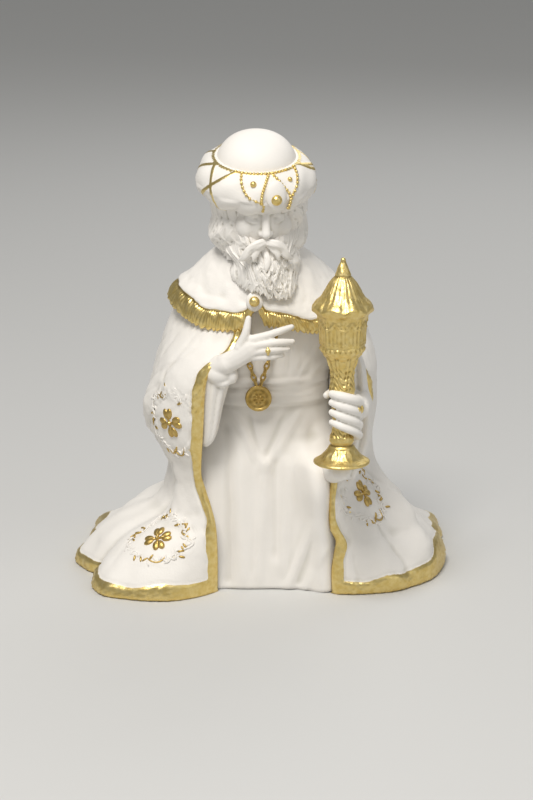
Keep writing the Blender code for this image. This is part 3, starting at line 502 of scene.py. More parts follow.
def oval(turn, height):
    """The reach of the mantle's plain section at an azimuth in degrees and a height."""
    angle = radians(turn)
    sideways, forward = sin(angle), cos(angle)
    wide = np.where(sideways > 0, through(RIGHT_SIDE, height), through(LEFT_SIDE, height))
    deep = np.where(forward > 0, through(FRONT_SIDE, height), through(BACK_SIDE, height))
    power = through(SQUARENESS, height)
    return section(sideways, forward, wide, deep, power)


def flared(turn, height):
    """The reach of the section that spreads towards the floor into the hem's own outline."""
    tall = FLARE_TOP * (0.45 + 0.55 * smooth_step(-0.3, 0.5, cos(radians(turn))))
    spread = through(FLOOR_REACH, turn) - oval(turn, 0 * height)
    return oval(turn, height) + spread * smooth_step(1, 0, height / tall)


def mantle_reach(turn, height):
    """The mantle's outer radius at an azimuth in degrees, 0 in front and 90 on his right, and a height."""
    reach = flared(turn, height)
    return reach + fold_lift(turn, height, reach, MANTLE_FOLDS)


def edge_azimuth(stops, height, side):
    """The azimuth from the front where the mantle reaches an edge's x. side is 1 on his right, or else -1."""
    x = np.abs(through(stops, height))
    low, high = 0 * x, 80 + 0 * x
    for _ in range(30):
        turn = (low + high) / 2
        beyond = flared(side * turn % 360, height) * sin(radians(turn)) > x
        low, high = np.where(beyond, low, turn), np.where(beyond, turn, high)
    return (low + high) / 2


def mantle_point(turn, height, reach):
    """The point at an azimuth in degrees."""
    return round_point(radians(turn), reach, height)


def rounding(away, width, depth):
    """How far a rounded edge draws in at a distance from it."""
    return depth * (1 - np.sqrt(1 - np.clip(1 - away / width, 0, 1) ** 2))


def border_depth(turn, height, base):
    """How far inside the gilded border or hem a point of the mantle lies, and how far from the front edge."""
    from_edge = np.minimum(*(np.linalg.norm(base - base[:, [edge]], axis=2) for edge in (0, -1)))
    sway = 0.34 * sin(height * 0.3 + turn * 0.02) + 0.16 * sin(height * 0.71)
    slim = LEFT_SLIMMER * bump(height - 44, 13) * (turn > 180)
    side = through(BORDER, height) + sway - slim - from_edge
    ripple = 0.9 * sin(turn * 0.21) + 0.5 * sin(turn * 0.47 + 1)
    hem = HEM + LEFT_HEM * bump(turn - 276, 17) + ripple
    return np.maximum(side, hem - height), from_edge


def wreath_relief(turn, height, reach, base):
    """The puckered cloth round each embroidered flower, and how far inside its stitches a point lies."""
    lift, stitches = 0 * reach, 0 * reach - 3
    for flower_turn, flower_height, size, _ in FLOWERS:
        (degree, skew, rise), _ = cloth_frame(flower_turn, flower_height)
        climb = height - flower_height
        across = ((turn - flower_turn + 180) % 360 - 180) * degree + climb * skew
        along = climb * rise
        far = np.hypot(across, along)
        ring = bump(far - WREATH * size, 0.55 * size)
        around = np.arctan2(along, across)
        pucker = sin(far * 3.4 + 2 * sin(around * 5) + 1.5 * noise(base, 4, 12))
        lift += ring * (0.3 * pucker + 0.42 * noise(base, 1.5, 13) + 0.35)
        thread = 0.22 - np.abs(noise(base, 2.1, 14) + 0.35 * noise(base, 0.9, 15))
        stitches = np.maximum(stitches, 0.9 * thread - 0.16 + 2.2 * (ring - 1))
    return lift, stitches


def mantle(columns=320, lining=46, levels=152):
    """The cloak that falls from the shoulders over both forearms to the floor and opens in front."""
    height = MANTLE_TOP * linspace(0, 1, levels)[:, None] ** 1.06
    first = edge_azimuth(RIGHT_HAND_EDGE, height, 1)
    last = 360 - edge_azimuth(LEFT_HAND_EDGE, height, -1)
    spread = linspace(0, 1, columns)[None, :]
    turn = first + (last - first) * (spread - 0.07 * sin(2 * pi * spread))
    level = height + 0 * turn
    reach = mantle_reach(turn, level)
    base = mantle_point(turn, level, reach)
    gilt, from_edge = border_depth(turn, level, base)
    crinkle = 0.5 * noise(base * (1, 1, 1.3), 5, 3) + 0.26 * noise(base, 2.4, 5)
    crinkle += 0.9 * noise(base * (1, 1, 0.5), 13, 8) + 0.5 * noise(base * (0.6, 0.6, 1.6), 8, 6)
    relief, stitches = wreath_relief(turn, level, reach, base)
    lift = fold_lift(turn, level, reach, MANTLE_CREASES) + 0.42 * crinkle + relief
    raised = smooth_step(-0.4, 1.2, gilt)
    strokes = sin((level + turn * 0.9) * 2.6 + 2 * noise(base, 3, 10)) * 0.22 * raised
    lift = lift * (1 - 0.6 * raised) + 0.75 * raised + strokes + 0.26 * noise(base, 1.6, 9) * raised
    lift -= 0.35 * bump(gilt + 0.5, 0.5)
    lip = rounding(from_edge, *FRONT_LIP)
    skin = mantle_point(turn, level, reach + lift - lip - rounding(level, *HEM_LIP))
    pick = linspace(0, columns - 1, lining).round().astype(int)[::-1]
    thick = SHEET + (reach * LINING_DEPTH - SHEET) * smooth_step(9, 30, from_edge)
    inner = (reach - thick + lip)[:, pick]
    grid = np.concatenate([skin, mantle_point(turn[:, pick], level[:, pick], inner)], axis=1)
    inside = np.where(from_edge[:, pick] < 2.6, 1, -3)
    caps = []
    for row in (0, levels - 1):
        start = row * (columns + lining)
        for k in range(lining - 1):
            outside = [start + column for column in range(pick[k + 1], pick[k] + 1)]
            caps.append(outside + [start + columns + k, start + columns + k + 1])
    gilt = np.concatenate([np.maximum(gilt, stitches), inside], axis=1)
    return grid_piece("mantle", grid, GILDED, gilt, caps=caps)


# The tunic's outline at each height, seen from the front, with its front and back.
TUNIC_HALF = [
    (-4, 40), (0, 40), (14, 39), (40, 36), (60, 32), (74, 27), (86, 25.5), (100, 29), (118, 30), (134, 22),
    (146, 12),
]
TUNIC_FRONT = [
    (-4, 38), (0, 38), (10, 37.5), (30, 36.5), (52, 35), (74, 31.5), (86, 33), (96, 34), (112, 36),
    (122, 36), (134, 34), (146, 30),
]
TUNIC_BACK = [(-4, 30), (60, 24), (110, 14), (134, 8), (146, 0)]
TUNIC_SQUARE = [(-4, 3.6), (50, 3.4), (84, 2.6), (146, 2.4)]
SASH_FOOT, SASH_TOP = 80.5, 92
TUNIC_TOP = 146
TUNIC_MIDDLE = (0.5, -8)
# The raised left knee under the chalice: how far it stands forward at each height, and its x and half-width.
KNEE_RISE = [(-4, 5.5), (10, 6.5), (30, 9), (48, 13), (55, 12), (61, 5), (66, 0)]
KNEE_TOP, KNEE_FOOT, KNEE_HALF = 20.5, 25.5, 7.5
# Folds of the skirt, as x at the top and at the foot, the heights of both, half-width and height.
SKIRT_FOLDS = [
    (-15, 79, -3, 56, 2.3, 1.1), (-9, 79, -4, 58, 1.7, -0.8), (14, 79, 1, 56, 2.3, 1.1),
    (8, 79, 0, 60, 1.7, -0.8), (-1, 60, -4, 6, 2.4, 0.8), (3, 62, 3, 16, 2.1, -0.8),
    (8, 60, 6, 10, 2.7, 0.8), (-18, 74, -18, 4, 2.8, -1.2), (-11, 68, -11, 6, 3, 0.8),
    (19, 74, 20, 10, 3.2, -1.2), (-27, 74, -25, 0, 4, 2.5), (20, 34, 9, 3, 1.8, 1),
    (22, 27, 13, 2, 1.4, -0.8), (25, 22, 16, 1, 1.6, 1), (26, 113, 13, 93, 1.5, 0.4),
    (31, 105, 18, 93, 1.4, 0.4), (22, 117, 10, 94, 1.6, 0.35),
]


def tunic_relief(x, height):
    """How far the pleats, the sash and the skirt's folds stand out of the tunic's front."""
    bands = xyz(x * 0.1, 0, height + 0.03 * x + 0.5 * sin(x * 0.2))
    lift = 0.8 + 0.6 * noise(bands, 1.4, 43) + 0.24 * noise(bands, 0.7, 44)
    lift *= between(SASH_FOOT, SASH_TOP, 0.8, height)
    pleats = smooth_step(SASH_TOP, SASH_TOP + 3, height) * smooth_step(128, 118, height)
    fan = x * (1 - 0.006 * (height - SASH_TOP))
    streaks = xyz(fan, 0, height * 0.1)
    lift += pleats * (0.42 * noise(streaks, 1.7, 41) + 0.3 * noise(streaks, 3.6, 42))
    for x_top, top, x_foot, foot, width, rise in SKIRT_FOLDS:
        share = np.clip((top - height) / (top - foot), 0, 1)
        fade = smooth_step(top + 1, top - 6, height) * smooth_step(foot - 6, foot + 2, height)
        lift += rise * fade * bump(x - (x_top + (x_foot - x_top) * share), width)
    return lift


def knee_rise(x, height):
    """How far the raised knee pushes the skirt forward."""
    knee = KNEE_FOOT + (KNEE_TOP - KNEE_FOOT) * np.clip(height / 60, 0, 1)
    return through(KNEE_RISE, height) * bump(x - knee, KNEE_HALF)


def tunic(columns=200, levels=150):
    """The long belted tunic and the body under it."""
    height = linspace(0, TUNIC_TOP, levels)[:, None]
    spread = linspace(-1, 1, columns, endpoint=False)[None, :]
    angle = pi * (0.55 * spread + 0.45 * spread ** 3)
    forward, sideways = cos(angle), sin(angle)
    middle_x, middle_y = TUNIC_MIDDLE
    deep = np.where(
        forward > 0, through(TUNIC_FRONT, height) + middle_y, through(TUNIC_BACK, height) - middle_y
    )
    wide = through(TUNIC_HALF, height)
    power = through(TUNIC_SQUARE, height)
    reach = section(sideways, forward, wide, deep, power)
    x, y = -reach * sideways, -reach * forward
    level = height + 0 * x
    front = smooth_step(-0.05, 0.1, forward)
    lift = tunic_relief(x, level) * front
    base = xyz(x, y, level)
    lift += 0.16 * noise(base * (1, 1, 0.35), 3.2, 21) + 0.3 * noise(base * (1, 1, 0.3), 9, 22)
    lift -= rounding(level, *TUNIC_LIP)
    knee = knee_rise(x, level) * front
    grid = xyz(x + middle_x - lift * sideways, y + middle_y - lift * forward - knee, level)
    grid_piece("tunic", grid, BISQUE)


# The shoulder cape, with its fringe, falls from the collar. Heights of its lower edge by azimuth.
COLLAR = np.array((-2.5, -22, 151))
COLLAR_RADIUS = 12.5
CAPE_MIDDLE = (-0.5, -12)
# The cape's relief stands out away from this place inside the breast.
CAPE_HEART = COLLAR - (0, 0, 42)
CAPE_SQUARENESS = 2.2
CAPE_LEFT, CAPE_RIGHT, CAPE_FRONT, CAPE_BACK = 41, 41.5, 31.5, 29
CAPE_EDGE = [
    (-180, 119), (-130, 121), (-90, 120), (-62, 115.5), (-38, 114.4), (-20, 116.2), (-8, 117.4), (0, 117.5),
    (12, 117), (28, 115.5), (45, 116), (62, 119.5), (90, 124), (135, 122), (180, 119),
]
FRINGE = 8
CLASP = np.array((-5, -44.5, 128))
STRANDS = 190


def cape_edge(turn):
    """The height of the cape's lower edge, with the small opening under the clasp."""
    return through(CAPE_EDGE, turn) + 8 * bump(turn - 7, 4.5)


def cape_point(turn, share):
    """A point of the cape's outside, share of the way from the collar to the lower edge."""
    angle = radians(turn)
    sideways, forward = sin(angle), cos(angle)
    wide = np.where(sideways > 0, CAPE_LEFT, CAPE_RIGHT)
    deep = np.where(forward > 0, CAPE_FRONT, CAPE_BACK)
    reach = section(sideways, forward, wide, deep, CAPE_SQUARENESS)
    out = COLLAR_RADIUS + (reach - COLLAR_RADIUS) * (1 - (1 - share) ** 1.25)
    axis = COLLAR + (xyz(*CAPE_MIDDLE, cape_edge(turn)) - COLLAR) * share[..., None]
    return axis + round_point(angle, out, 0)


def cape(columns=800, levels=52):
    """A short cape over the shoulders, with a gilded fringe of carved strands along its lower edge."""
    turn = linspace(-180, 180, columns, endpoint=False)[None, :]
    angle = radians(turn)
    share = linspace(0, 1, levels)[:, None] ** 0.72
    base = cape_point(turn + 0 * share, share + 0 * turn)
    run = np.linalg.norm(np.diff(base, axis=0), axis=2)
    to_edge = np.concatenate([np.cumsum(run[::-1], axis=0)[::-1], np.zeros((1, columns))])
    deep = FRINGE * (1 - 0.1 * cos(angle * 2) - 0.28 * bump(turn + 38, 30))
    depth = deep + 0.3 * sin(angle * 13) - to_edge
    outward = unit(base - CAPE_HEART)
    brocade = 0.3 * noise(base, 2.6, 31) + 0.34 * noise(base, 4.6, 32) + 0.8 * noise(base, 12, 33)
    in_fringe = smooth_step(-0.15, 0.25, depth)
    sway = noise(base * (1, 1, 0.3), 6, 34)
    strand = STRANDS * angle / 2 + depth * (0.22 + 0.5 * sway) + 1.6 * noise(base, 4, 35)
    carved = 0.46 * np.abs(sin(strand)) ** 0.8 + 0.3 * sin(strand * 0.37 + 0.7 * depth + 2 * sway)
    swell = sin(np.clip(depth / FRINGE, 0, 1) ** 0.8 * pi * 0.85)
    white = 0.8 * brocade + 0.95 * smooth_step(-7, -0.6, depth)
    lift = white * (1 - in_fringe) + in_fringe * (swell - 0.3 + carved * smooth_step(0.1, 1.6, depth))
    ragged = 0.55 * sin(strand) * smooth_step(2.5, 0, to_edge)
    skin = base + outward * lift[..., None]
    skin[..., 2] -= ragged
    turned_in = ((0.02, -0.8), (0.05, -0.7), (0.1, 0.4), (0.5, 3))
    under = [skin[-1] + (COLLAR - skin[-1]) * (inward, inward, 0) + (0, 0, up) for inward, up in turned_in]
    grid = np.concatenate([skin, under])
    gilt = np.concatenate([depth, np.full((2, columns), 2), np.full((2, columns), -2)])
    grid_piece("cape", grid, GILDED, gilt)


# The head, as its own frame: x towards his left, y back and z up from the middle of the skull.
HEAD = np.array((-2.8, -31, 166))
HEAD_TURN = radians(9)
HEAD_BOW = radians(14)
HEAD_FRAME = np.array(Euler((HEAD_BOW, 0, HEAD_TURN)).to_matrix())


def on_head(*points, side=1):
    """Points of the head's own frame, as points of the figure. side is -1 for the mirrored ones."""
    return np.asarray(points, float) * (side, 1, 1) @ HEAD_FRAME.T + HEAD


def face(clay):
    """A calm, plain face on even proportions, under the turban's rim."""
    clay.egg(on_head((0, 1, 3))[0], (13.5, 15, 17), HEAD_FRAME, sides=48)
    clay.egg(on_head((0, -5, -3))[0], (12, 12, 15), HEAD_FRAME, sides=48)
    clay.tube(on_head((0, -15.4, 3.8), (0, -17.4, -0.5), (0, -19, -4.4)), (1.5, 1.6, 2), sides=24)
    for side in (-1, 1):
        brow = on_head((1.6, -15.6, 4.4), (5.6, -15, 5.4), (9.6, -11.8, 4), side=side)
        clay.tube(brow, (1.3, 1.7, 1.1), sides=24)
        lid = on_head((2.4, -15.5, 0.6), (5, -16.2, -0.2), (7.8, -14.3, 0.5), side=side)
        clay.tube(lid, (0.4, 0.55, 0.4))
        fold = on_head((2.6, -15.4, 2.3), (5, -15.9, 2.7), (7.8, -14, 1.9), side=side)
        clay.tube(fold, (0.45, 0.6, 0.45))
        eye, cheek, nostril = on_head((5, -13.6, 0.9), (6.4, -11, -4.2), (1.8, -17.4, -4.8), side=side)
        clay.egg(eye, (3.1, 2.4, 2), HEAD_FRAME)
        clay.egg(cheek, (5.4, 4.7, 5.6), HEAD_FRAME, sides=32)
        clay.egg(nostril, (1.3, 1.7, 1.3), HEAD_FRAME)
    clay.tube(on_head((-2.4, -16.8, -10.6), (0, -18.2, -11), (2.4, -16.8, -10.6)), (0.8, 1.3, 0.8))
    clay.tube(on_head((0, 4, -8), (0, 8, -26)), (11, 12))


# The beard's half-width, front and lean to his left at each height of the head's frame.
BEARD_HALF = [
    (-36, 16), (-32, 15.2), (-26, 13.8), (-20, 13.6), (-12, 14.8), (-5, 15.2), (0, 14.6), (8, 13.2),
]
BEARD_FRONT = [(-36, 22.5), (-32, 23.2), (-24, 22.6), (-16, 19.8), (-9, 16.8), (-1, 12.4), (8, 10.6)]
BEARD_LEAN = [(-36, 3.6), (-26, 2.4), (-15, 0.8), (-6, 0)]
BEARD_FOOT = -33.6
BEARD_ROUND = 11.5
# The hair's reach by azimuth, its top and foot, and the azimuth where it starts beside the face.
HAIR_REACH = [(38, 14.6), (52, 17.2), (75, 18.6), (95, 18.6), (140, 18), (180, 17.6)]
HAIR_TOP, HAIR_FOOT = 12, -21
HAIR_START = 40
# How wide and tall the map of carved locks is on the beard, and on the hair for one radian.
BEARD_MAP, HAIR_MAP = (15.5, 34), (17.5, 33)
LOCK_HEIGHT = 1.8
STRANDS_PER_LOCK = 5
LOCK_SAMPLES = 26


def carved_locks(across, down, width, length, seed):
    """The relief of overlapping wavy locks, from 0 in the grooves to about 1, at places in shares."""
    spot = xyz(across, down, 0)
    wave = 1.7 * sin(down * 0.42 + 1.2 * noise(spot, 14, seed)) + 1.4 * noise(spot, 10, seed + 1)
    place = (across + wave) / width
    ridge = np.abs(cos(place * pi)) ** 0.75
    full = 0.62 + 0.38 * noise(spot * (1, 0.5, 1), length / 3, seed + 2)
    strands = cos(place * pi * 6 + 1.5 * noise(spot, 5, seed + 3))
    return ridge * full + 0.07 * strands


def hair_relief(across, down, seed):
    """Two layers of carved locks, in shares."""
    coarse = carved_locks(across, down, 4.4, 21, seed)
    under = carved_locks(across + 2.1, down + 5, 3.6, 17, seed + 5)
    spot = xyz(across, down, 0)
    return LOCK_HEIGHT * np.maximum(coarse, under - 0.2) + 0.8 * noise(spot, 7, seed + 9)


def lock(clay, path, width, out, curl=0):
    """A lock of hair: strands side by side along a wavy path, which lean out and draw together at the tip."""
    core = curve_points(path, LOCK_SAMPLES)
    share = linspace(0, 1, LOCK_SAMPLES)
    breadth = width * through([(0, 0.75), (0.3, 1), (0.7, 0.85), (1, 0.22)], share)
    ways = unit(np.gradient(core, axis=0))
    side = unit(np.cross(ways, out))
    proud = np.cross(side, ways)
    clay.tube(core - proud * (breadth * 0.25)[:, None], breadth[::5] * 0.72, sides=10, steps=LOCK_SAMPLES)
    for k in range(STRANDS_PER_LOCK):
        place = 2 * (k + 0.5) / STRANDS_PER_LOCK - 1
        lift = np.sqrt(1 - place ** 2) * 0.62
        sway = 0.1 * sin(share * 9 + 2.1 * k + curl)
        aside, above = breadth * (place + sway), breadth * (lift + 0.5 * sway)
        line = core + side * aside[:, None] + proud * above[:, None]
        clay.tube(line, breadth[::5] * 0.27 + 0.08, sides=8, steps=LOCK_SAMPLES)


def beard(columns=244, levels=172, behind=22):
    """A full wavy beard, broad from the cheeks down, that ends in pointed locks on the breast."""
    share = linspace(-1, 1, columns)[None, :]
    run = linspace(0, 1, levels)[:, None]
    top = -9 + 16 * np.abs(share) ** 1.5
    relief = hair_relief(BEARD_MAP[0] * share + 0 * run, BEARD_MAP[1] * run + 0 * share, 61)
    foot = BEARD_FOOT - 2.6 * (relief[-1] / LOCK_HEIGHT - 0.5) * 2 + 2.4 * share ** 4
    z = top + (foot - top) * run
    full = smooth_step(0, 0.16, run) * (1 - 0.75 * smooth_step(0.9, 1, run))
    out = unit(xyz(0.9 * share * np.abs(share) ** 1.5, -1, 0.15))
    front = through(BEARD_FRONT, z) - 5 * smooth_step(0.88, 1, run) - 1.2 * smooth_step(0.12, 0, run)
    half = through(BEARD_HALF, z) + 0.9 * sin(z * 0.62 + 1.2 * np.sign(share)) * np.abs(share) ** 3
    skin = xyz(half * share + through(BEARD_LEAN, z), BEARD_ROUND * np.abs(share) ** 2.4 - front, z)
    skin = skin + out * (relief * full)[..., None]
    pick = linspace(columns - 1, 0, behind).round().astype(int)
    back = skin[:, pick].copy()
    back[..., 1] = BEARD_ROUND - front[:, pick] + 1 + 5 * np.sqrt(1 - run)
    grid_piece("beard", on_head(*np.concatenate([skin, back], axis=1)), BISQUE)


# The locks of the moustache on his left, which are mirrored, and the tuft under the lip.
LONG_LOCK = (
    (0.2, -18.8, -7.8), (3.4, -19.8, -8.4), (6.8, -19.4, -10.8), (8.8, -19.6, -14), (11.4, -18.8, -16),
)
SHORT_LOCK = ((0.8, -18.8, -9), (3.9, -20.2, -11.4), (5.4, -21.2, -15.4))
TUFT = ((0, -18.6, -12.2), (0.6, -21, -15.6), (-0.2, -23, -19.6))


def moustache():
    """A drooping moustache and the tuft under the lip."""
    clay = Clay()
    out = HEAD_FRAME @ np.array((0, -1, 0.2))
    for side in (-1, 1):
        lock(clay, on_head(*LONG_LOCK, side=side), 1.9, out, side)
        lock(clay, on_head(*SHORT_LOCK, side=side), 1.3, out, 2 * side)
    lock(clay, on_head(*TUFT), 1.3, out)
    clay.piece("moustache", BISQUE, "bisque", HAIR_GRAIN, 1)


def hair(columns=330, levels=124, within=36):
    """Long wavy hair that falls from under the turban beside the face and behind."""
    turn = linspace(HAIR_START, 360 - HAIR_START, columns)[None, :]
    run = linspace(0, 1, levels)[:, None]
    relief = hair_relief(radians(turn) * HAIR_MAP[0] + 0 * run, HAIR_MAP[1] * run + 0 * turn, 83)
    foot = HAIR_FOOT - 2 * (relief[-1] / LOCK_HEIGHT - 0.5)
    z = HAIR_TOP + (foot - HAIR_TOP) * run
    reach = through(HAIR_REACH, 180 - np.abs(180 - turn)) - 1.5 * smooth_step(0.25, 0, run)
    wave = 0.9 * sin(z * 0.42 + 1.4 * sin(radians(turn) * 5))
    reach = reach - 2.5 * smooth_step(0.7, 1, run) + wave
    outer = reach + relief * (1 - 0.6 * smooth_step(0.9, 1, run))
    inner = reach - 4.5 + 3 * smooth_step(0.8, 1, run)
    pick = linspace(columns - 1, 0, within).round().astype(int)
    reach = np.concatenate([outer, inner[:, pick]], axis=1)
    angle = radians(np.concatenate([turn, turn[:, pick]], axis=1))
    z = np.concatenate([z, z[:, pick]], axis=1)
    grid = round_point(angle, reach, z) + (0, 1.5, 0)
    grid_piece("hair", on_head(*grid), BISQUE)


def head():
    clay = Clay()
    face(clay)
    clay.piece("face", BISQUE, "bisque", FACE_GRAIN, 4)
    beard()
    moustache()
    hair()


# The turban, in its own frame in the middle of its roll.
TURBAN = np.array((-4.3, -30, 178.6))
TURBAN_FRAME = np.array(Euler((radians(15), radians(-1), radians(8))).to_matrix())
ROLL_RADIUS = 15.6
ROLL_OUT = 9.2
ROLL_UP = 9
CROWN_RADIUS = 17.6
CROWN_RISE = 18.6
CROWN_FULLNESS = 2.4
# Painted bands on the roll, as (azimuth, angle up the section) in degrees, from point to point.
RING_RISE = 76
TURBAN_BANDS = [
    tuple((azimuth, RING_RISE) for azimuth in range(-180, 181, 20)),
    ((74, 74), (65, 50), (60, 27), (55, 5), (50, -38), (46, -60)),
    ((72, 74), (98, 31), (112, -4)),
    ((36, 74), (45, 53), (57, 25), (73, -16), (84, -50)),
    ((-59, 76), (-93, 26)),
    ((-104, 74), (-97, 60), (-92, 36), (-86, 4), (-70, -24)),
    ((-62, 74), (-72, 44), (-88, 18), (-108, -6)),
    ((112, 76), (126, 30), (140, -30)),
    ((146, 76), (130, 30), (112, -4)),
    ((-118, 76), (-128, 30), (-142, -30)),
    ((-150, 76), (-132, 30), (-108, -6)),
    ((166, 76), (176, 20), (166, -40)),
    ((194, 76), (184, 20), (192, -40)),
]
BAND_HALF = 0.8
# Beaded festoons on the brow, in the same terms.
FESTOONS = [
    ((27, 74), (25, 56), (21, 34), (14, 13), (3, 0), (1, -28)),
    ((-8, 75), (-2, 48), (2, 24), (3, 0)),
    ((-12, 75), (-20, 42), (-25, 19), (-25, -23)),
    ((-50, 76), (-42, 50), (-35, 29), (-28, 9), (-24, -22)),
]
STUDS = [(11, 47, 1.3), (-31, 49, 1)]
JEWEL = (-11, 8)
SETTING = (-12, 18)


def on_turban(points):
    return np.asarray(points, float) @ TURBAN_FRAME.T + TURBAN


def roll_point(turn, rise, proud=0):
    """A point of the turban's roll, at an azimuth round the head and an angle up its section, in radians."""
    winding = 0.45 * sin(turn * 9 + rise * 2.2) * smooth_step(0.95, 0.5, sin(rise))
    out, up = (size + winding + proud for size in (ROLL_OUT, ROLL_UP))
    return round_point(turn, ROLL_RADIUS + out * cos(rise), up * sin(rise) - 1.2 * cos(rise))


def on_roll(azimuth, rise, proud):
    """A point of the figure on the turban's roll, at an azimuth and an angle up its section in degrees."""
    return on_turban(roll_point(radians(azimuth), radians(rise), proud))


def roll_path(stops, count, proud=0):
    """Evenly spread points of the roll through (azimuth, angle) stops in degrees."""
    line = radians(curve_points(stops, count))
    return roll_point(line[:, 0], line[:, 1], proud)


def away_from(points, lines):
    """The distance from each point to the nearest of the given lines."""
    nearest = np.full(points.shape[:-1], 1e9)
    for line in lines:
        for spot in line:
            nearest = np.minimum(nearest, np.sum((points - spot) ** 2, axis=-1))
    return np.sqrt(nearest)


def turban(columns=290, levels=84):
    """A thick wound roll round a smooth domed crown, with painted bands."""
    turn, rise = all_round(columns), all_round(levels)[:, None]
    crease = np.abs(sin(turn * 7 + rise * 1.6)) ** 0.6 - 0.75
    crease = crease * smooth_step(0.3, -0.9, sin(rise)) * smooth_step(-0.6, 0.4, cos(rise))
    grid = roll_point(turn, rise, crease)
    lines = [roll_path(band, 72) for band in TURBAN_BANDS]
    strings = [roll_path(band, 40) for band in FESTOONS]
    gilt = np.maximum(BAND_HALF - away_from(grid, lines), 0.45 - away_from(grid, strings))
    grid = roll_point(turn, rise, crease + 0.28 * smooth_step(-0.25, 0.2, gilt))
    grid_piece("turban_roll", on_turban(grid), GILDED, gilt, closed_rows=True)
    height = cos(linspace(0.02, 1, 40)[:, None] * pi / 2)
    reach = CROWN_RADIUS * (1 - height ** CROWN_FULLNESS) ** (1 / CROWN_FULLNESS)
    dome = round_point(all_round(160), reach, CROWN_RISE * height)
    grid_piece("turban_crown", on_turban(dome), BISQUE)


def turban_beads():
    """The beads of the festoons and of the crown's front, the studs and the brow jewel."""
    clay = Clay()
    for line in FESTOONS:
        for spot in roll_path(line, 13, 0.35):
            clay.egg(on_turban(spot), (0.68, 0.68, 0.68), sides=10)
    for azimuth in range(-34, 38, 5):
        clay.egg(on_roll(azimuth, RING_RISE, 0.35), (0.76, 0.62, 0.62), sides=10)
    for azimuth, rise, size in STUDS:
        clay.egg(on_roll(azimuth, rise, 0.3), (size, size, size), sides=18)
    clay.egg(on_roll(*JEWEL, 1.5), (2.3, 2.3, 2.3), sides=28)
    clay.piece("turban_beads", GILDING, "gilding")
    lean = np.array(Euler((radians(-SETTING[1]), 0, radians(-SETTING[0]))).to_matrix())
    setting = on_roll(*SETTING, -0.2)
    egg_piece("jewel_setting", BISQUE, "bisque", setting, (4.6, 2.2, 6.1), TURBAN_FRAME @ lean, 36)


RIGHT_WRIST = (-16.5, -50.2, 103.4)
# Each sleeve from its top: height, x, y, half-width and half-depth.
RIGHT_SLEEVE = [
    (100, -20.2, -45, 6.2, 4.8), (92, -21.2, -44, 5.2, 4.6), (84, -22.4, -43, 4.2, 4.2),
    (76, -23.2, -42, 3.4, 3.8), (70, -24, -41.4, 2.7, 3.2), (66.4, -24.9, -41, 1.9, 2.4),
    (64.8, -25.4, -40.8, 0.7, 0.9),
]
LEFT_SLEEVE = [
    (107, 36.5, -42, 2, 4.5), (101, 36.8, -42, 4, 8.5), (92, 37, -42, 4.9, 10), (82, 38.2, -40, 6, 11),
    (70, 37.8, -38, 5.8, 11), (58, 35.5, -35, 4.8, 10), (50, 34, -33, 4, 9),
]
# Each finger: knuckle, middle joint, tip and radius. The first is the thumb.
RIGHT_FINGERS = [
    ((-11.5, -51, 110.5), (-8.6, -51.6, 116.5), (-7.4, -51, 122.6), 1.75),
    ((-6, -51.6, 113.9), (3, -52, 116.6), (10.4, -50.4, 118.9), 1.6),
    ((-5, -52.4, 111.4), (3.6, -53.2, 112.9), (10.8, -51.4, 112.9), 1.6),
    ((-4.8, -52.4, 108.8), (3, -53.2, 109.8), (9, -51.4, 109.7), 1.5),
    ((-5.2, -51.8, 106.2), (1.4, -52.6, 106.6), (6.6, -51.2, 107), 1.4),
]


def hanging_sleeve(clay, stops, tilt=0):
    """A sleeve that hangs as a flat, rippled bag. Each stop is (height, x, y, half-width, half-depth)."""
    height = linspace(stops[0][0], stops[-1][0], 60)[:, None]
    turn = all_round(90)
    x, y, half, deep = (through([(-stop[0], stop[i]) for stop in stops], -height) for i in (1, 2, 3, 4))
    ripple = 1 + 0.13 * sin(3 * turn + 1.5 + 0.02 * height) + 0.07 * sin(8 * turn + 0.03 * height)
    rise = height + tilt * half * cos(turn)
    clay.loft(xyz(x + half * ripple * cos(turn), y + deep * ripple * sin(turn), rise))


def right_arm():
    """The right forearm, its wide under-sleeve, and the hand laid on the breast."""
    clay = Clay()
    forearm = ((-38, -14, 86), (-30, -32, 93), (-22, -44, 99.5), (-16.5, -49, 103))
    clay.tube(forearm, (8, 7.2, 5.6, 4.4), sides=32)
    clay.egg((-19.4, -46.8, 98.2), (6.2, 4.6, 4.8))
    clay.egg((-14.4, -48.2, 97.6), (2.6, 2.8, 3.6))
    clay.tube(((-21.5, -47.6, 94.6), (-17.6, -48.8, 94.4), (-14.4, -48.8, 96.4)), (1.3, 1.7, 1.4), sides=24)
    hanging_sleeve(clay, RIGHT_SLEEVE, tilt=0.15)
    palm = (RIGHT_WRIST, (-11.5, -51, 106.3), (-6.6, -51.6, 109.6))
    clay.tube(palm, (4.4, 4.3, 4.6), flat=0.62, across=(0, 1, 0))
    clay.tube(((-12.5, -50.6, 106.2), (-10.8, -51, 111.4)), (2.6, 2))
    for knuckle, joint, tip, radius in RIGHT_FINGERS:
        clay.tube((knuckle, joint, tip), (radius * 1.15, radius, radius * 0.96, radius * 0.72), sides=16)
        clay.egg(knuckle, (radius * 1.15, radius * 1.25, radius * 1.15))
    clay.piece("right_arm", BISQUE, "bisque", ARM_GRAIN, 2)


# The fingers of his left hand close round the stem: heights at the knuckle and at the tip, from the grip.
LEFT_FINGERS = ((4, 7.4), (-0.8, 3.7), (-5.6, -0.4), (-10, -4.6))
FINGER_TURNS = (80, 52, 20, -12, -46)
FINGER_RADIUS = 2.05
STEM_RADIUS = 4.1
CHALICE_MIDDLE = (np.array(CHALICE_LOW) + CHALICE_HIGH) / 2
CHALICE_BASE = np.array((*CHALICE_MIDDLE[:2], CHALICE_LOW[2])) / U
GRIP_RISE = 21.9


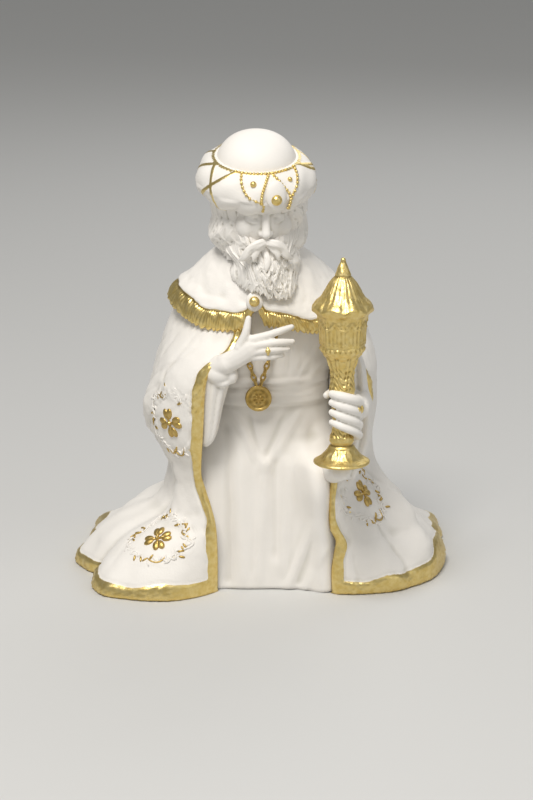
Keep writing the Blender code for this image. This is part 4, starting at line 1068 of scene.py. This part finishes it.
def left_arm():
    """The left forearm, its sleeve, the fist round the chalice and the stud under the chalice's foot."""
    clay = Clay()
    grip = CHALICE_BASE + (0, 0, GRIP_RISE)
    hold = STEM_RADIUS + FINGER_RADIUS * 0.9
    turns = radians(FINGER_TURNS)
    reach = hold + np.array((0.8, 0.6, 0.3, 0.1, 0))
    for index, (at_knuckle, at_tip) in enumerate(LEFT_FINGERS):
        rise = linspace(at_knuckle, at_tip, 5) + 1.5 * cos(turns)
        path = grip + round_point(-turns, reach, rise)
        size = FINGER_RADIUS * (1 - 0.06 * index)
        clay.tube(path, (size * 1.15, size * 1.02, size, size * 0.8), sides=16)
        clay.egg(path[0], (size * 1.25,) * 3)
    clay.tube(grip + ((4, 6.5, 5), (-4, 5.5, 6.4), (-6.4, 1.2, 6.4)), (2.2, 1.9, 1.5))
    clay.tube(grip + ((5.8, 2.6, 4), (5.8, 3.2, -8)), (2.8, 2.6))
    clay.tube(grip + ((6.8, 5, 0), (8, 16, 0)), (5, 4.6), sides=24)
    clay.tube(((34, -12, 87), (34.5, -32, 88), (35.5, -51, 87.5)), (8, 6.5, 5.4), sides=32)
    hanging_sleeve(clay, LEFT_SLEEVE)
    stud = CHALICE_BASE + ((-2.6, 30, -12), (-1.4, 19, -9), (-0.4, 9, -6.2), (0, 1.4, -4.2))
    clay.tube(stud, (6, 5, 4.2, 3.8), sides=32)
    clay.piece("left_arm", BISQUE, "bisque", ARM_GRAIN, 2)


def finger_ring(name, centre, way, radius):
    """A plain gold ring with a small bead, round a finger."""
    clay = Clay()
    turn = linspace(0, 2 * pi, 33)
    way = unit(np.array(way))
    side = unit(np.cross(way, (0, 0, 1)))
    up = np.cross(side, way)
    path = centre + radius * (cos(turn)[:, None] * side + sin(turn)[:, None] * up)
    clay.tube(path, (0.62, 0.62), steps=48, sides=10)
    clay.egg(centre + radius * np.array((0, -1.15, 0.1)), (1.1, 0.7, 1.1), sides=14)
    clay.piece(name, GILDING, "gilding")


def clasp():
    """The round clasp at the throat: a gold bead in an oval white setting."""
    egg_piece("clasp_setting", BISQUE, "bisque", CLASP + (0, 0.6, 0), (3.6, 1.6, 4.2), sides=32)
    egg_piece("clasp_bead", GILDING, "gilding", CLASP + (0, -1, 0.4), (2.2, 2, 2.2), sides=24)


MEDALLION = np.array((-3.4, -36.2, 84.6))
MEDALLION_SIZE = 0.95
# The medallion's section, as (radius, how far out) from its rim to its middle.
MEDALLION_PROFILE = [
    (5.4, -2.5), (5.9, 0), (5.8, 0.8), (5.3, 1.1), (4.8, 0.8), (4.4, 0.3), (3.6, 0.3), (3.3, 0.7),
    (2.8, 0.9), (2.4, 0.5), (1.9, 0.5), (1.4, 1), (0.7, 1.3), (0.1, 1.4),
]
LINKS = 9


def medallion():
    """A round medallion on a linked chain, on the breast."""
    turn, circle = all_round(64), linspace(0, 2 * pi, 25)
    radius, out = np.array(MEDALLION_PROFILE).T[..., None]
    petals = 0.14 * cos(8 * turn) * smooth_step(5, 3, radius)
    reach = radius * MEDALLION_SIZE
    clay = Clay()
    clay.loft(MEDALLION + xyz(reach * cos(turn), -0.8 * out - petals, reach * sin(turn)))
    for side in (-1, 1):
        for k, share in enumerate(linspace(0, 1, LINKS)):
            centre = MEDALLION + (side * (1.2 + 6.2 * share), -0.2 - 0.4 * share, 6.6 + 20 * share)
            turned = 1 if k % 2 else 0.35
            wide, tall = 0.9 * cos(circle), 1.7 * sin(circle)
            link = xyz(turned * wide + 0.3 * side * tall, (turned - 1) * 0.7 * cos(circle), tall)
            clay.tube(centre + link, (0.42, 0.42), sides=8, steps=28)
    clay.piece("medallion", DARK_GILDING, "gilding")


# The chalice's silhouette, as (height, radius) from its foot.
CHALICE_PROFILE = [
    (0, 11), (0.3, 11.55), (0.9, 11.6), (1.5, 10.6), (2.2, 9.4), (3, 8.3), (4.8, 6.8), (6.4, 5.6),
    (7.3, 5.2), (7.7, 4.6), (8.2, 4.5), (8.9, 4.8), (10.3, 5.05), (11.6, 4.8), (12.5, 4.3), (14, 4),
    (18, 3.9), (26, 4.3), (31.4, 5.3), (33.8, 5), (36.8, 4.75), (39.9, 5.3), (42.3, 5.9), (44.7, 6.9),
    (46.5, 8.2), (47.6, 8.9), (48.7, 9.15), (49.9, 9), (51, 9.05), (55, 9.25), (59.8, 9.7), (61.8, 10.2),
    (62.8, 10.7), (63.5, 12), (64.2, 12.6), (65, 12.5), (66.2, 11.7), (67.6, 10.5), (70.1, 8.8),
    (73.1, 7.2), (76.1, 5.4), (78.2, 3.6), (78.6, 3.1), (79, 3.3), (79.5, 3.1), (82, 2.1), (84.3, 1.15),
    (84.8, 1), (85.3, 1.05), (85.9, 0.6), (86.1, 0.1),
]
RIBS = 8
# Thin raised rings round it: height, half-width and rise.
CHALICE_RINGS = [(50.6, 0.26, 0.26), (51.7, 0.2, 0.22), (9.6, 0.22, 0.22), (11.2, 0.2, 0.14)]


def chalice(columns=200, levels=270):
    """The covered goblet, ribbed in eight, with arches on its drum and leaves on its bowl and foot."""
    height = linspace(0, CHALICE_PROFILE[-1][0], levels)[:, None]
    turn = all_round(columns)
    reach = np.interp(height, *np.array(CHALICE_PROFILE).T) + 0 * turn
    reach = 0.5 * reach + 0.5 * through(CHALICE_PROFILE, height)
    level = height + 0 * turn
    rib = np.abs(sin(turn * RIBS / 2))
    across = (turn * RIBS / (2 * pi)) % 1 - 0.5

    def within(low, high, soft=0.6):
        return between(low, high, soft, level)

    drum, lid, bowl = within(50, 61.5), within(64.8, 78, 1.5), within(37, 47)
    edge = bump(np.abs(across) - 0.5, 0.045)
    lift = drum * (-0.34 * rib + 0.34 * edge + 0.1 * cos(across * 2 * pi * 4) * within(51, 57))
    arch = 60.2 - 2.6 * np.abs(sin(across * pi)) ** 0.8 - level
    swag = 58.6 + 1.5 * np.abs(cos(across * pi * 2)) - level
    lift += 0.42 * bump(arch, 0.34) * drum + 0.34 * bump(swag, 0.3) * drum
    lift += lid * (-0.016 * rib * reach + 0.22 * edge + 0.1 * cos(across * 2 * pi * 3))
    teeth = cos(turn * RIBS * 3)
    lift += 0.4 * within(47.4, 49.6, 0.35) * teeth * cos((level - 48.5) * 1.6)
    lift += bowl * (-0.3 * rib + 0.3 * bump(across, 0.05))
    drop = ((level - 42.4) / 1.9) ** 2 + (across / 0.15) ** 2
    lift += 0.5 * bump(drop, 0.9)
    curl = sin(level * 1.7 + 3.2 * cos(turn * RIBS / 2)) * cos(turn * RIBS + level * 0.9)
    lift += 0.3 * curl * within(31, 41, 1.5)
    lift += 0.24 * sin(level * 2.4) * cos(turn * RIBS) * within(44, 47, 0.6)
    lift += 0.22 * curl * within(11, 15, 1)
    foot = within(1.8, 6.6, 0.5)
    outline = 1.5 * sin(np.clip((level - 1.6) / 5.4, 0, 1) * pi)
    lift += foot * 0.14 * bump(np.abs(across) * 2 * pi * reach / RIBS - outline, 0.4)
    for at, wide, rise in CHALICE_RINGS:
        lift += rise * bump(level - at, wide)
    lift += 0.08 * sin(turn * 5 + level * 1.2) * within(79.8, 85)
    skin = round_point(-turn, reach, level)
    hammered = noise(skin * (1, 1, 0.22), 0.9, 51) * within(50, 78, 1) + 1.4 * noise(skin, 1.3, 54) * foot
    lift += 0.1 * hammered + 0.06 * noise(skin, 1.1, 53) + 0.09 * noise(skin, 2.6, 52)
    reach = np.maximum(reach + lift * smooth_step(0, 0.8, level) * smooth_step(86.1, 84, level), 0.05)
    scallop = 1.6 * rib * smooth_step(62.6, 64, level) * smooth_step(72, 65, level)
    skin = round_point(-turn, reach, level + scallop) + CHALICE_BASE
    made = grid_piece("gilt_chalice", skin, GILDING)
    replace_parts(made, "chalice")


# Embroidered flowers on the mantle: azimuth, height, size and turn in degrees.
FLOWERS = [
    (45, 75, 6.4, 12), (49, 24, 6.2, 30), (309, 42, 6, 2), (132, 50, 5.6, 30), (180, 30, 5.6, 0),
    (228, 50, 5.6, -30), (180, 84, 5, 45),
]
WREATH = 2.15
WREATH_SPRIGS = 15


def stitched(turn, height, proud):
    """A point of the mantle's embroidery, proud of the cloth."""
    reach = mantle_reach(np.asarray(turn, float) % 360, np.asarray(height, float))
    return mantle_point(turn, height, reach + proud)


def cloth_frame(turn, height):
    """The mantle's slopes and its sideways, upward and outward directions at a place.

    The slopes are the way along it for one degree, and the ways across and up it for one share of height.
    """
    step = 0.5
    here = stitched(turn, height, 0)
    beside = (stitched(turn + step, height, 0) - here) / step
    above = (stitched(turn, height + step, 0) - here) / step
    out = unit(np.cross(above, beside))
    side = unit(beside)
    up = -np.cross(side, out)
    return (beside @ side, above @ side, above @ up), (side, up, out)


def along_cloth(turn, height, away, angle):
    """The azimuth and height of the place that lies at a distance and an angle from another on the mantle."""
    (degree, skew, rise), _ = cloth_frame(turn, height)
    climb = away * sin(angle) / rise
    return turn + (away * cos(angle) - climb * skew) / degree, height + climb


def petal(clay, turn, height, away, angle, long, wide, proud, sides=12):
    """One rounded petal or leaf, away from a place on the cloth at an angle."""
    place = along_cloth(turn, height, away, angle)
    _, (side, up, out) = cloth_frame(*place)
    centre = stitched(*place, 0.2)
    along = side * cos(angle) + up * sin(angle)
    over = -side * sin(angle) + up * cos(angle)
    clay.egg(centre, (long, wide, proud), np.stack([along, over, out], axis=1), sides)


def clear_of_border(turn, height, clearance=1.5):
    """Whether a place on the mantle lies clear of the gilded border and hem."""
    x, y = stitched(turn, height, 0)[:2]
    stops, sign = (RIGHT_HAND_EDGE, -1) if turn < 180 else (LEFT_HAND_EDGE, 1)
    from_edge = (x - through(stops, height)) * sign
    return y > 0 or (from_edge > through(BORDER, height) + clearance and height > HEM + LEFT_HEM + clearance)


def embroidery():
    """Four-petalled gold flowers, each in a loose wreath of small leaf sprigs."""
    gold, pale = Clay(), Clay()
    for turn, height, size, lean in FLOWERS:
        for k in range(4):
            angle = radians(lean + 90 * k)
            for fan in (-0.25, 0.25):
                petal(gold, turn, height, size * 0.66, angle + fan, size * 0.37, size * 0.25, 0.9, sides=16)
            petal(gold, turn, height, size * 0.34, angle, size * 0.3, size * 0.11, 0.9)
        petal(gold, turn, height, 0, 0, size * 0.17, size * 0.17, 1.5)
        for k in range(WREATH_SPRIGS):
            angle = 2 * pi * (k + 0.3) / WREATH_SPRIGS
            ring = size * WREATH + 0.9 * sin(3 * k)
            stem_turns = angle + linspace(-0.28, 0.28, 6)
            stem_away = ring + 1.7 * sin(linspace(-2.2, 2.2, 6) + 2 * k)
            stem_places = [along_cloth(turn, height, away, spot) for spot, away in zip(stem_turns, stem_away)]
            if all(clear_of_border(*place) for place in stem_places):
                stem = [stitched(*place, 0.3) for place in stem_places]
                (pale if k % 4 else gold).tube(stem, (0.22, 0.36, 0.36, 0.22), sides=8, steps=14)
            for step, swing in ((-1.5, 1), (-0.5, -0.9), (0.5, 0.9), (1.5, -1)):
                spot = angle + step * 0.12
                away = ring + 0.7 * step
                leaf = pale if (2 * k + round(step)) % 3 else gold
                place = along_cloth(turn, height, away, spot)
                if clear_of_border(*place):
                    petal(leaf, *place, 0.5, spot + pi / 2 + swing, size * 0.24, size * 0.085, 0.5)
    gold.piece("embroidered_flowers", DARK_GILDING, "gilding")
    pale.piece("embroidered_leaves", BISQUE, "bisque")


# The pale surroundings, and the place that all lamps point at, in metres.
FLOOR_COLOUR = (0.6, 0.6, 0.59, 1)
SURROUND_COLOUR = (0.3, 0.3, 0.295, 1)
LIT = (0, 0, 0.09)


def floor():
    looks = Looks("floor")
    surface = {"Base Color": FLOOR_COLOUR, "Roughness": 0.9}
    looks.feed(looks.tree.nodes["Principled BSDF"], surface)
    bpy.ops.mesh.primitive_plane_add(size=16)
    made = bpy.context.object
    made.name = "floor"
    made.data.materials.append(looks.material)


def aimed(made, place, target):
    """Sets a lamp or camera at a place, looking at a target."""
    made.location = place
    made.rotation_mode = "QUATERNION"
    made.rotation_quaternion = (Vector(target) - Vector(place)).to_track_quat("-Z", "Y")


def soft_light(name, power, size, place, colour=(1, 1, 1)):
    lamp = bpy.data.lights.new(name, "AREA")
    lamp.energy = power
    lamp.size = size
    lamp.color = colour
    aimed(placed(name, lamp), place, LIT)


def studio():
    floor()
    soft_light("key", 17.5, 0.5, (-0.26, -0.76, 1.28), (1, 0.97, 0.93))
    soft_light("fill", 1.8, 0.9, (0.95, -0.75, 0.55), (0.97, 0.98, 1))
    soft_light("rim", 2.5, 0.7, (0.35, 0.95, 0.85))
    world = bpy.data.worlds.new("studio")
    world.use_nodes = True
    world.node_tree.nodes["Background"].inputs["Color"].default_value = SURROUND_COLOUR
    bpy.context.scene.world = world
    bpy.context.scene.view_settings.view_transform = "Standard"


# The photograph's view: above the horizon, aimed at the tunic below the sash. Lengths are in metres, and
# the lens and its sensor in millimetres.
ELEVATION = radians(15)
CAMERA_DISTANCE = 1.1
AIM = Vector((0, 0, 0.074))
LENS, SENSOR = 113.9, 36


def camera():
    lens = bpy.data.cameras.new("camera")
    lens.lens = LENS
    lens.sensor_width = SENSOR
    made = placed("camera", lens)
    back = Vector((0, -cos(ELEVATION), sin(ELEVATION)))
    aimed(made, AIM + back * CAMERA_DISTANCE, AIM)
    bpy.context.scene.camera = made


camera()
studio()
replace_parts(mantle(), "wise_man")
tunic()
cape()
head()
turban()
turban_beads()
right_arm()
left_arm()
finger_ring("right_ring", np.array((0.6, -53, 109.5)), (1, 0, 0.06), 1.6)
finger_ring("left_ring", CHALICE_BASE + (6.6, -2.4, GRIP_RISE + 1.6), (-0.35, -1, 0.2), 1.7)
clasp()
medallion()
embroidery()
chalice()
